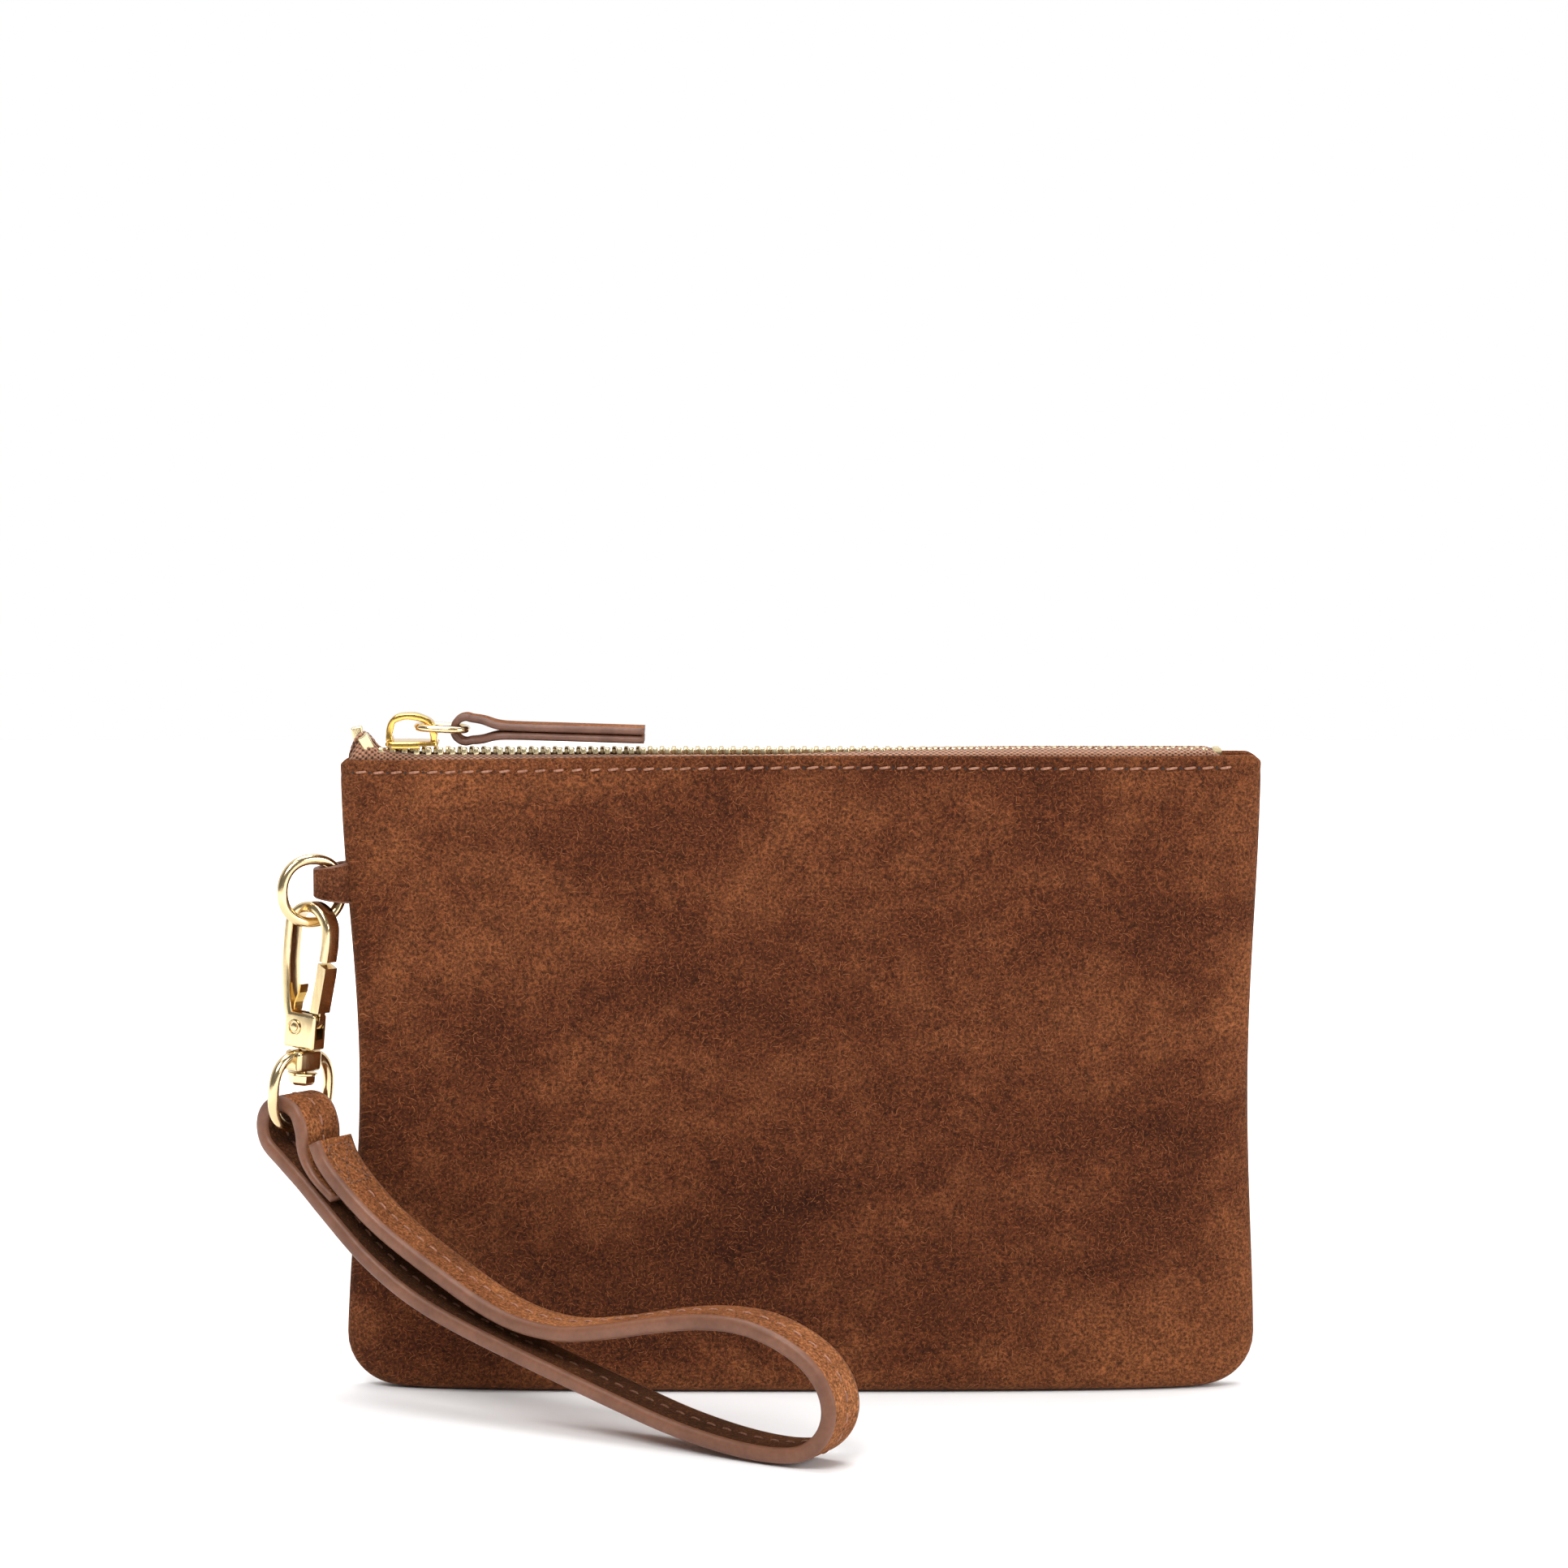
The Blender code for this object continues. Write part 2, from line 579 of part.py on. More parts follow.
def hook_body(frame, metal):
    """The hook's bar on a block, which is slotted into two cheeks for the gate."""
    body = make_object("hook_body", hook_bar_bmesh(), metal, frame)
    low = (-BLOCK_HALF_WIDTH, -HOOK_HALF_DEPTH, BLOCK_BOTTOM)
    high = (BLOCK_HALF_WIDTH, HOOK_HALF_DEPTH, BLOCK_TOP)
    add_boolean(body, make_object("hook_block", box_bmesh(low, high, 0.5), metal, frame), "UNION")
    low = (GATE_PIVOT[0] - 2.2, -SLOT_HALF_DEPTH, SLOT_FLOOR)
    high = (BLOCK_HALF_WIDTH + 1.0, SLOT_HALF_DEPTH, BLOCK_TOP + 3.0)
    add_boolean(body, make_object("gate_slot", box_bmesh(low, high), metal, frame), "DIFFERENCE")
    hole = pivot_bar_bmesh(((-4.0, RIVET_RADIUS + PIN_CLEARANCE), (4.0, RIVET_RADIUS + PIN_CLEARANCE)))
    add_boolean(body, make_object("cheek_hole", hole, metal, frame), "DIFFERENCE")


def pivot_bar_bmesh(profile):
    """A bar along the hook's depth, through the gate's pivot."""
    place = Matrix.Translation(GATE_PIVOT) @ turn_about("X", 90.0)
    return turned_bmesh(profile, 16, place)


def hook_gate(hook_frame, metal):
    """The gate's bar stands under the hook's nose, its tip cut back so that it swings in past the nose.

    Its thinner tail turns on the rivet in the slot.
    """
    place = place_in(hook_frame, GATE_PIVOT)
    turn = turn_about("Y", HOOK_LEAN) @ turn_about("Z", HOOK_YAW)
    frame = make_frame("gate_frame", place, turn, hook_frame)
    bar = [(3.9, -8.3), (6.25, -9.35), (6.15, -10.9), (5.0, -19.4), (2.6, -19.4), (3.8, -10.5)]
    pivot_x, pivot_z = GATE_PIVOT[0], GATE_PIVOT[2]
    tail = [(2.8, -18.8), (4.8, -18.8), (4.6, -21.0), (3.6, -23.0), (0.8, -24.9)]
    for degrees in range(-80, -261, -30):
        ray = math.radians(degrees)
        tail.append((pivot_x + 1.9 * math.cos(ray), pivot_z + 1.9 * math.sin(ray)))
    tail += [(0.2, -21.2), (2.2, -20.2)]
    moved_bar = [(x - pivot_x, z - pivot_z) for x, z in bar]
    moved_tail = [(x - pivot_x, z - pivot_z) for x, z in tail]
    gate = make_object("hook_gate", prism_bmesh(moved_bar, GATE_BAR_HALF_DEPTH), metal, frame)
    tongue = make_object("gate_tail", prism_bmesh(moved_tail, GATE_TAIL_HALF_DEPTH), metal, frame)
    add_boolean(gate, tongue, "UNION")
    radius = RIVET_RADIUS + PIN_CLEARANCE
    hole = turned_bmesh(((-4.0, radius), (4.0, radius)), 16, turn_about("X", 90.0))
    add_boolean(gate, make_object("gate_hole", hole, metal, frame), "DIFFERENCE")


def gate_rivet(frame, metal):
    reach = HOOK_HALF_DEPTH + 0.2
    half = [(reach + 0.6, 0.7), (reach + 0.45, 1.1), (reach, RIVET_HEAD_RADIUS), (reach, RIVET_RADIUS)]
    profile = half + [(-height, radius) for height, radius in reversed(half)]
    make_object("gate_rivet", pivot_bar_bmesh(profile), metal, frame)


def gate_spring(frame, steel):
    """A leaf that stands on the block and bears towards the gate."""
    path = smooth_path(((-2.5, -19.6), (-2.3, -17.8), (-1.4, -15.6), (-1.2, -13.8)), 2)
    make_object("gate_spring", ribbon_bmesh(path, 0.2, [1.3] * len(path)), steel, frame)


def swivel_pin(frame, metal):
    """The shank passes through the eye's block and ends in a flange and a six-sided head."""
    low = EYE_BLOCK_BOTTOM - 0.3
    shank = turned_bmesh(((BLOCK_BOTTOM - 0.3, SHANK_RADIUS), (low - 0.4, SHANK_RADIUS)), 18)
    pin = make_object("swivel_pin", shank, metal, frame)
    flange = turned_bmesh(((low, 2.4), (low - 0.6, 2.4)), 18)
    add_boolean(pin, make_object("pin_flange", flange, metal, frame), "UNION")
    head = turned_bmesh(((low - 0.4, 2.2), (low - 2.4, 2.2), (low - 2.8, 1.7)), 6)
    add_boolean(pin, make_object("pin_head", head, metal, frame), "UNION")


def swivel_eye(hook_frame, metal):
    """A rounded ring under a pierced block. It turns about the pin."""
    place = place_in(hook_frame, (0.0, 0.0, EYE_CENTRE_Z))
    frame = make_frame("eye_frame", place, turn_about("Y", HOOK_LEAN) @ turn_about("Z", EYE_YAW), hook_frame)
    ring = wire_ring_bmesh(EYE_HALF_WIDTH, EYE_HALF_HEIGHT, 2.6, WIRE_RADIUS, 36, 10)
    eye = make_object("swivel_eye", ring, metal, frame)
    low = (-3.1, -HOOK_HALF_DEPTH, EYE_BLOCK_BOTTOM - EYE_CENTRE_Z)
    high = (3.1, HOOK_HALF_DEPTH, EYE_BLOCK_TOP - EYE_CENTRE_Z)
    add_boolean(eye, make_object("eye_block", box_bmesh(low, high, 0.5), metal, frame), "UNION")
    radius = SHANK_RADIUS + PIN_CLEARANCE
    hole = turned_bmesh(((low[2] - 2.0, radius), (high[2] + 2.0, radius)), 18)
    add_boolean(eye, make_object("eye_hole", hole, metal, frame), "DIFFERENCE")
    return frame


# ---------------------------------------------------------------- wrist strap


def strap_heading(s):
    """The strap leaves the ring at one heading and turns smoothly to another."""
    t = min(max(s / STRAP_TURN_LENGTH, 0.0), 1.0)
    turned = t * t * (3.0 - 2.0 * t)
    return math.radians(STRAP_HEADING_AT_RING + (STRAP_HEADING - STRAP_HEADING_AT_RING) * turned)


def strap_place(s):
    """Where a distance along the strap's heading is, from the ring, in plan."""
    steps = 40
    x = y = 0.0
    for i in range(steps):
        heading = strap_heading(s * (i + 0.5) / steps)
        x += math.cos(heading) * s / steps
        y -= math.sin(heading) * s / steps
    return x, y


def strap_ply(name, frame, wire, side, leather):
    """One of the band's two plies: side 1 runs inside the wrist loop, side -1 outside it."""
    path = smooth_path(STRAP_ROUTE, 2)
    loops = []
    for i, (point, normal) in enumerate(zip(path, path_normals(path))):
        skive = min(max(i / 2 - STRAP_SKIVE_FROM, 0.0) / 3.0, 1.0)
        thickness = STRAP_THICKNESS + (STRAP_SKIVED_THICKNESS - STRAP_THICKNESS) * skive
        loop = []
        for depth, across in ((STRAP_PLY_GAP, -1), (STRAP_PLY_GAP, 1), (thickness, 1), (thickness, -1)):
            s, z = point + normal * side * depth / 2
            x, y = strap_place(s)
            heading = strap_heading(s)
            width = STRAP_HALF_WIDTH * across
            place = wire + Vector((x + width * math.sin(heading), y + width * math.cos(heading), 0.0))
            place.z = z
            loop.append(place - wire)
        loops.append(loop)
    make_object(name, loft_bmesh(loops), leather, frame)


def wrist_strap(eye_frame, outer_leather, inner_leather):
    wire = place_in(eye_frame, (0.0, 0.0, -EYE_HALF_HEIGHT))
    frame = make_frame("strap_frame", wire, Matrix.Identity(4), eye_frame)
    strap_ply("strap_outer", frame, wire, 1, outer_leather)
    strap_ply("strap_inner", frame, wire, -1, inner_leather)


def build():
    for obj in list(bpy.data.objects):
        bpy.data.objects.remove(obj)
    suede = make_material("suede", (0.16, 0.05, 0.02), 0.95)
    lining = make_material("lining", (0.20, 0.12, 0.08), 0.90)
    tape_cloth = make_material("zip_tape", (0.28, 0.14, 0.08), 0.85)
    tooth_metal = make_material("tooth_brass", (0.80, 0.68, 0.45), 0.35, 1.0)
    slider_metal = make_material("slider_brass", (0.72, 0.52, 0.28), 0.25, 1.0)
    gold = make_material("pale_gold", (0.83, 0.68, 0.45), 0.15, 1.0)
    spring_steel = make_material("spring_steel", (0.60, 0.58, 0.55), 0.30, 1.0)
    edge_leather = make_material("pull_leather", (0.25, 0.12, 0.08), 0.60)

    panels, linings = [], []
    for side, name in ((-1, "front"), (1, "back")):
        levels = (*BASE_LEVELS, *WALL_LEVELS, LINING_TOP, POUCH_HEIGHT)
        panels.append(pouch_shell(f"{name}_panel", side, levels, 0.0, SUEDE_THICKNESS, suede))
        levels = (*BASE_LEVELS, *WALL_LEVELS, LINING_TOP)
        shell = pouch_shell(f"{name}_lining", side, levels, LINING_OFFSET, LINING_THICKNESS, lining)
        linings.append(shell)
        zip_tape(f"zip_tape_{name}", side, tape_cloth)
        zip_teeth(f"zip_teeth_{name}", side, tooth_metal)
    zip_stops(tooth_metal)
    side_tab(panels + linings, suede)

    slider_frame = zip_slider(slider_metal)
    pull_frame = pull_ring(slider_frame, slider_metal)
    zip_pull(pull_frame, edge_leather)

    ring_frame = side_ring(gold)
    hook_frame = hook_frame_on(ring_frame)
    hook_body(hook_frame, gold)
    hook_gate(hook_frame, gold)
    gate_rivet(hook_frame, gold)
    gate_spring(hook_frame, spring_steel)
    swivel_pin(hook_frame, gold)
    eye_frame = swivel_eye(hook_frame, gold)
    wrist_strap(eye_frame, suede, suede)


build()
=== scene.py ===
"""The finished look of the suede wristlet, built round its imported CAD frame.

Lengths are written in millimetres and scaled to metres when a mesh is made. The frame's origin is the
middle of the pouch's base, +X runs along the zip and -Y is the front.
"""

import math
import random
from bisect import bisect_right

import bmesh
import bpy
from mathutils import Matrix, Vector


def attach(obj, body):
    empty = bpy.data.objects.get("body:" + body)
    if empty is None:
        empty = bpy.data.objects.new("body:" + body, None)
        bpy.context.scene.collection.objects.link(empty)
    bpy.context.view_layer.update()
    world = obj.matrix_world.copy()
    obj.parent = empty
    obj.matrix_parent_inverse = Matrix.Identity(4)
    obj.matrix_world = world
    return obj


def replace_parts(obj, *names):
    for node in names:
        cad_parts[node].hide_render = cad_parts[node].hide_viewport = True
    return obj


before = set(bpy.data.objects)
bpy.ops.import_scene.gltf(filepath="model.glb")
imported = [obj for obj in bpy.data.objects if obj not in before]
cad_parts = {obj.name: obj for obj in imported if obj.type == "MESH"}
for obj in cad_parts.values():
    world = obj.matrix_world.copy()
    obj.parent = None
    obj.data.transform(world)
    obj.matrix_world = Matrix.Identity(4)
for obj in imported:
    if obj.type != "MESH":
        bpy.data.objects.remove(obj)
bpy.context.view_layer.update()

MM = 0.001
SEED = 7

# Pouch: the same driving sizes as the CAD panels
LEFT_HALF_WIDTH = 100.0
RIGHT_HALF_WIDTH = 100.9
LEFT_WAIST = 3.3
RIGHT_WAIST = 2.0
POUCH_HEIGHT = 140.0
CORNER_RADIUS = 12.0
BODY_HALF_DEPTH = 8.4
MOUTH_HALF_DEPTH = 7.3
FULLNESS = 0.6
BASE_ROUNDING = 3.2
PARTING_Y = 1.5
PARTING_HALF_GAP = 0.05
SUEDE_THICKNESS = 1.4
ROLL_HEIGHT = 0.72
STITCH_DROP = 2.6
STITCH_PITCH = 3.9
STITCH_LENGTH = 2.7
FIRST_STITCH_X = -96.6
LAST_STITCH_X = 94.4

# Pouch: how finely a panel is drawn
PANEL_TURNS = 240
ROLL_STEPS = 6
TURN_STEP = 0.03
WIDE_ROWS_FROM = 15.0
WIDE_ROW = 2.9
CLOSE_ROWS_FROM = 132.9
CLOSE_ROW = 0.36

# Hardware
WIRE_RADIUS = 1.2
WIRE_STATIONS = 120
WIRE_SIDES = 24
SIDE_RING_RADIUS = 6.95
SIDE_RING_YAW = 28.0
SIDE_RING_AXIS = Vector((-100.1, 0.0, 110.6))
HOOK_LEAN = 4.5
HOOK_YAW = -35.0
HOOK_HALF_DEPTH = 2.2
EYE_YAW = 50.0
EYE_HALF_WIDTH = 8.3
EYE_HALF_HEIGHT = 8.1
EYE_CENTRE_Z = -37.2
CUT_SHARP_DEGREES = 38

# Zip
ZIP_Z = 140.9
SLIDER_X = -90.0
TOOTH_PITCH = 2.6
TOOTH_COUNT = 70
TOOTH_SIDES = 12
ROW_START = -91.0
TAPE_LEFT = -98.2
TAPE_RIGHT = 94.6
TAPE_THICKNESS = 0.45
TAPE_STATIONS = 860
RIB_PITCH = 1.35
RIB_HEIGHT = 0.17
RIBBED_ROWS = 22

# Side tab
TAB_TAIL_X = -97.0
TAB_BULB_X = -101.8
TAB_BULB_RADIUS = 3.2
TAB_LEATHER = 1.3

# Wrist strap: the same route as the CAD strap, as (distance along its heading, height)
STRAP_HALF_WIDTH = 6.0
STRAP_THICKNESS = 3.4
STRAP_SKIVED_THICKNESS = 1.9
STRAP_HEADING_AT_RING = 40.0
STRAP_HEADING = 29.5
STRAP_TURN_LENGTH = 25.0
STRAP_ROUTE = (
    (9.6, 56.6), (12.0, 52.2), (17.3, 46.8), (27.2, 39.0), (43.2, 30.0), (54.0, 24.8), (63.0, 22.2),
    (73.0, 21.6), (84.0, 23.4), (94.0, 25.7), (104.0, 27.6), (113.0, 28.2), (120.0, 27.4), (127.0, 25.0),
    (132.5, 21.6), (136.2, 16.8), (137.2, 11.6), (135.4, 6.8), (131.0, 3.2), (125.0, 2.0), (117.0, 2.1),
    (108.0, 3.2), (98.0, 5.2), (87.0, 8.2), (74.0, 12.0), (61.0, 15.9), (45.0, 21.0), (33.4, 25.9),
    (22.7, 32.7), (12.2, 41.9), (6.1, 47.1), (0.2, 51.3), (-4.8, 55.0), (-6.0, 59.4), (-4.0, 62.9),
    (0.0, 64.2), (4.0, 62.7), (5.8, 58.8), (6.1, 55.0), (7.2, 51.9), (9.9, 48.6), (14.6, 44.9),
)
STRAP_STEPS = 7
STRAP_SKIVE_FROM = 37
STRAP_PLACE_STEPS = 24

# Stage, in metres
FLOOR_HALF_SIZE = 1.5
FLOOR_Z = -0.0003
LIGHT_TARGET = (0.0, 0.0, 0.07)


def held(value):
    """A value held between 0 and 1."""
    return min(max(value, 0.0), 1.0)


def eased(value):
    """A smooth rise from 0 to 1 as the value goes from 0 to 1."""
    share = held(value)
    return share * share * (3.0 - 2.0 * share)


# ---------------------------------------------------------------- node helpers


class Shader:
    """A material's node tree, with short ways to add and join nodes."""

    def __init__(self, name, colour, roughness, metallic=0.0):
        self.material = bpy.data.materials.new(name)
        self.material.use_nodes = True
        self.material.diffuse_color = (*colour, 1.0)
        self.tree = self.material.node_tree
        self.surface = self.tree.nodes["Principled BSDF"]
        self.surface.inputs["Base Color"].default_value = (*colour, 1.0)
        self.surface.inputs["Roughness"].default_value = roughness
        self.surface.inputs["Metallic"].default_value = metallic
        self.place = self.add("ShaderNodeTexCoord").outputs["Object"]

    def add(self, kind, inputs=None, **settings):
        node = self.tree.nodes.new(kind)
        for key, value in settings.items():
            setattr(node, key, value)
        for key, value in (inputs or {}).items():
            node.inputs[key].default_value = value
        return node

    def drive(self, **sources):
        """Link the surface's sockets, named without their spaces."""
        for key, source in sources.items():
            self.link(source, self.surface.inputs[key.replace("_", " ")])

    def link(self, source, target):
        self.tree.links.new(source, target)

    def feed(self, node, *sources):
        """Set or link a node's first inputs, and give back its first output."""
        for target, source in zip(node.inputs, sources):
            if isinstance(source, (int, float)):
                target.default_value = source
            else:
                self.link(source, target)
        return node.outputs[0]

    def math(self, operation, a, b=0.0, clamp=False):
        node = self.add("ShaderNodeMath", operation=operation, use_clamp=clamp)
        return self.feed(node, a, b)

    def scaled(self, scale, source=None):
        node = self.add("ShaderNodeVectorMath", {1: scale}, operation="MULTIPLY")
        return self.feed(node, source or self.place)

    def split(self, source):
        """The X, Y and Z of a vector."""
        node = self.add("ShaderNodeSeparateXYZ")
        self.link(source, node.inputs[0])
        return node.outputs[0], node.outputs[1], node.outputs[2]

    def noise(self, scale, detail=2.0, source=None, rough=0.5, distortion=0.0):
        fixed = {"Scale": scale, "Detail": detail, "Roughness": rough, "Distortion": distortion}
        node = self.add("ShaderNodeTexNoise", fixed)
        self.link(source or self.place, node.inputs["Vector"])
        return node.outputs["Fac"]

    def ramp(self, source, *stops):
        """A colour ramp. Each stop is a position and a colour or a grey."""
        node = self.add("ShaderNodeValToRGB")
        elements = node.color_ramp.elements
        while len(elements) < len(stops):
            elements.new(0.5)
        for element, (position, colour) in zip(elements, stops):
            element.position = position
            grey = isinstance(colour, (int, float))
            element.color = (colour, colour, colour, 1.0) if grey else (*colour, 1.0)
        self.link(source, node.inputs["Fac"])
        return node.outputs["Color"]

    def mix(self, share, a, b, blend="MIX"):
        node = self.add("ShaderNodeMix", data_type="RGBA", blend_type=blend)
        for key, source in ((0, share), (6, a), (7, b)):
            if isinstance(source, (int, float)):
                node.inputs[key].default_value = source
            elif isinstance(source, tuple):
                node.inputs[key].default_value = (*source, 1.0)
            else:
                self.link(source, node.inputs[key])
        return node.outputs[2]

    def bump(self, height, distance, strength=1.0, over=None):
        node = self.add("ShaderNodeBump", {"Strength": strength, "Distance": distance})
        self.link(height, node.inputs["Height"])
        if over is not None:
            self.link(over, node.inputs["Normal"])
        return node.outputs["Normal"]

    def strokes(self, scale, width, length, source, dims="2D"):
        """Short hairs: one slightly curled stroke at a random angle in each cell of a Voronoi pattern."""
        cells = self.add("ShaderNodeTexVoronoi", voronoi_dimensions=dims)
        cells.inputs["Scale"].default_value = scale
        self.link(source, cells.inputs["Vector"])
        local = self.add("ShaderNodeVectorMath", operation="SUBTRACT")
        self.feed(local, source, cells.outputs["Position"])
        colour = self.add("ShaderNodeSeparateColor")
        self.link(cells.outputs["Color"], colour.inputs[0])
        angle = self.math("MULTIPLY", colour.outputs[0], 2 * math.pi)
        if dims == "2D":
            turn = self.add("ShaderNodeVectorRotate", rotation_type="Z_AXIS")
            self.link(angle, turn.inputs["Angle"])
        else:
            turn = self.add("ShaderNodeVectorRotate", rotation_type="EULER_XYZ")
            spin = self.add("ShaderNodeVectorMath", {"Scale": 2 * math.pi}, operation="SCALE")
            self.link(self.feed(spin, cells.outputs["Color"]), turn.inputs["Rotation"])
        self.link(local.outputs[0], turn.inputs["Vector"])
        x, y, z = self.split(turn.outputs[0])
        along = self.math("ABSOLUTE", x)
        curl = self.math("MULTIPLY", self.math("POWER", along, 2.0), HAIR_CURL / length)
        across = self.math("ABSOLUTE", self.math("SUBTRACT", y, curl))
        if dims == "3D":
            deep = self.math("MULTIPLY", self.math("ABSOLUTE", z), HAIR_DEPTH_SHARE)
            across = self.math("MAXIMUM", across, deep)
        thin = self.math("SUBTRACT", 1.0, self.math("DIVIDE", across, width), clamp=True)
        short = self.math("GREATER_THAN", self.math("MULTIPLY", colour.outputs[1], length), along)
        return self.math("MULTIPLY", thin, short)


def srgb(r, g, b):
    """A colour as it is seen on a screen, as the linear values a shader takes."""
    return tuple((c / 255 / 12.92) if c <= 10 else ((c / 255 + 0.055) / 1.055) ** 2.4 for c in (r, g, b))


# ---------------------------------------------------------------- materials


# Where the suede is drawn paler as painted sheen, where the panel curves away at its right end, its base and
# its mouth, in metres: from none to full
PAINTED_SHEEN_RIGHT_END_X = (0.078, 0.101)
PAINTED_SHEEN_BASE_Z = (0.016, 0.0)
PAINTED_SHEEN_MOUTH_Z = (0.112, 0.138)
HAIR_CURL = 0.28
HAIR_DEPTH_SHARE = 0.35
HAIR_WIDTH = 0.00010
SHORT_HAIR = srgb(150, 84, 46)
LONG_HAIR = srgb(182, 112, 70)
NAP_SHEEN = srgb(214, 150, 104)


def suede(name, dark, mid, light, patch_scale=24.0, flat=True):
    """Brushed suede: slow patches where the nap lies differently, a fine grain and loose fibres.

    A flat panel has its hairs drawn in its own plane, and a strip that turns has them drawn in space.
    """
    s = Shader(name, mid, 0.95)
    plane = s.place
    if flat:
        x, y, z = s.split(s.place)
        lean = s.math("MULTIPLY", y, 0.5)
        plane = s.feed(s.add("ShaderNodeCombineXYZ"), s.math("ADD", x, y), s.math("ADD", z, lean))
    slow = s.noise(patch_scale, 3.0, s.scaled((0.8, 1.0, 1.3)), 0.55, 0.6)
    middling = s.noise(patch_scale * 6, 3.0, rough=0.6, distortion=0.4)
    tone = s.math("ADD", s.math("MULTIPLY", slow, 0.72), s.math("MULTIPLY", middling, 0.28))
    if flat:
        # Painted sheen: the colour turns paler towards the right end, the base and the mouth, where the panel
        # curves away
        painted_sheen = s.math("ADD", smooth_rise(s, x, *PAINTED_SHEEN_RIGHT_END_X), smooth_rise(s, z, *PAINTED_SHEEN_BASE_Z))
        mouth = smooth_rise(s, z, *PAINTED_SHEEN_MOUTH_Z)
        painted_sheen = s.math("ADD", painted_sheen, s.math("MULTIPLY", mouth, 0.5))
        tone = s.math("ADD", tone, s.math("MULTIPLY", painted_sheen, 0.11))
    colour = s.ramp(tone, (0.33, dark), (0.50, mid), (0.70, light))
    grain = s.noise(1500.0, 3.0, rough=0.7)
    speck = s.ramp(grain, (0.32, 0.12), (0.50, 0.90), (0.68, 2.2))
    colour = s.mix(0.85, colour, speck, "MULTIPLY")
    dims = "2D" if flat else "3D"
    short_hairs = s.strokes(1050.0, HAIR_WIDTH, 0.0006, plane, dims)
    long_hairs = s.strokes(560.0, HAIR_WIDTH, 0.0011, plane, dims)
    rare = s.ramp(s.noise(260.0, 1.0), (0.48, 0.0), (0.60, 1.0))
    colour = s.mix(s.math("MULTIPLY", short_hairs, 0.62), colour, SHORT_HAIR)
    long_share = s.math("MULTIPLY", s.math("MULTIPLY", long_hairs, rare), 0.6)
    colour = s.mix(long_share, colour, LONG_HAIR)
    s.drive(Base_Color=colour)
    s.surface.inputs["Specular IOR Level"].default_value = 0.12
    s.surface.inputs["Sheen Weight"].default_value = 0.16
    s.surface.inputs["Sheen Roughness"].default_value = 0.55
    s.surface.inputs["Sheen Tint"].default_value = (*NAP_SHEEN, 1.0)
    pile = s.math("ADD", grain, s.math("MULTIPLY", long_hairs, 0.5))
    lie = s.bump(s.noise(260.0, 4.0, rough=0.65), 0.0006, 0.5)
    s.drive(Normal=s.bump(pile, 0.00035, 0.8, lie))
    rough = s.ramp(tone, (0.3, 0.98), (0.7, 0.88))
    s.drive(Roughness=rough)
    return s.material


def smooth_rise(s, coordinate, start, end):
    """Rises from 0 to 1 as a coordinate in metres goes from start to end."""
    fixed = {"From Min": start, "From Max": end, "To Min": 0.0, "To Max": 1.0}
    node = s.add("ShaderNodeMapRange", fixed, interpolation_type="SMOOTHSTEP")
    s.link(coordinate, node.inputs["Value"])
    return node.outputs["Result"]


def edge_paint(name, colour, deep):
    """Satin edge paint over cut leather, with faint ripples along the cut."""
    s = Shader(name, colour, 0.45)
    tone = s.noise(90.0, 4.0, rough=0.6)
    fine = s.noise(900.0, 2.0)
    painted = s.ramp(tone, (0.30, deep), (0.62, colour))
    speck = s.ramp(fine, (0.3, 0.55), (0.7, 1.3))
    s.drive(Base_Color=s.mix(0.25, painted, speck, "MULTIPLY"))
    s.drive(Roughness=s.ramp(tone, (0.3, 0.52), (0.7, 0.38)))
    ripple = s.bump(s.noise(420.0, 3.0), 0.00025, 0.35)
    s.drive(Normal=s.bump(fine, 0.00008, 0.4, ripple))
    s.surface.inputs["Specular IOR Level"].default_value = 0.4
    return s.material


def metal(name, colour, roughness, wear=0.05):
    """Plated metal: polished, with slight polishing waves and fine handling marks."""
    s = Shader(name, colour, roughness, 1.0)
    waves = s.noise(160.0, 2.0)
    marks = s.noise(1400.0, 3.0, s.scaled((1.0, 1.0, 0.15)), 0.6)
    worn = s.ramp(marks, (0.35, max(roughness - wear, 0.02)), (0.75, roughness + wear))
    s.drive(Roughness=worn)
    tint = s.ramp(waves, (0.3, tuple(c * 0.93 for c in colour)), (0.7, colour))
    s.drive(Base_Color=tint)
    s.drive(Normal=s.bump(marks, 0.00001, 0.25, s.bump(waves, 0.00006, 0.3)))
    return s.material


def woven(name, colour, deep, pitch):
    """A plain weave of threads at the given pitch in metres, running along X and Z."""
    s = Shader(name, colour, 0.85)
    turns = 2 * math.pi / pitch
    x, y, z = s.split(s.place)
    warp = s.math("SINE", s.math("MULTIPLY", x, turns))
    weft = s.math("SINE", s.math("MULTIPLY", s.math("ADD", y, z), turns))
    cloth = s.math("ADD", s.math("MULTIPLY", s.math("MULTIPLY", warp, weft), 0.5), 0.5)
    fluff = s.noise(2200.0, 3.0)
    shade = s.math("ADD", s.math("MULTIPLY", cloth, 0.75), s.math("MULTIPLY", fluff, 0.25))
    s.drive(Base_Color=s.ramp(shade, (0.2, deep), (0.7, colour)))
    s.drive(Roughness=s.ramp(fluff, (0.3, 0.78), (0.7, 0.95)))
    s.drive(Normal=s.bump(shade, 0.00025, 0.8))
    s.surface.inputs["Sheen Weight"].default_value = 0.15
    return s.material


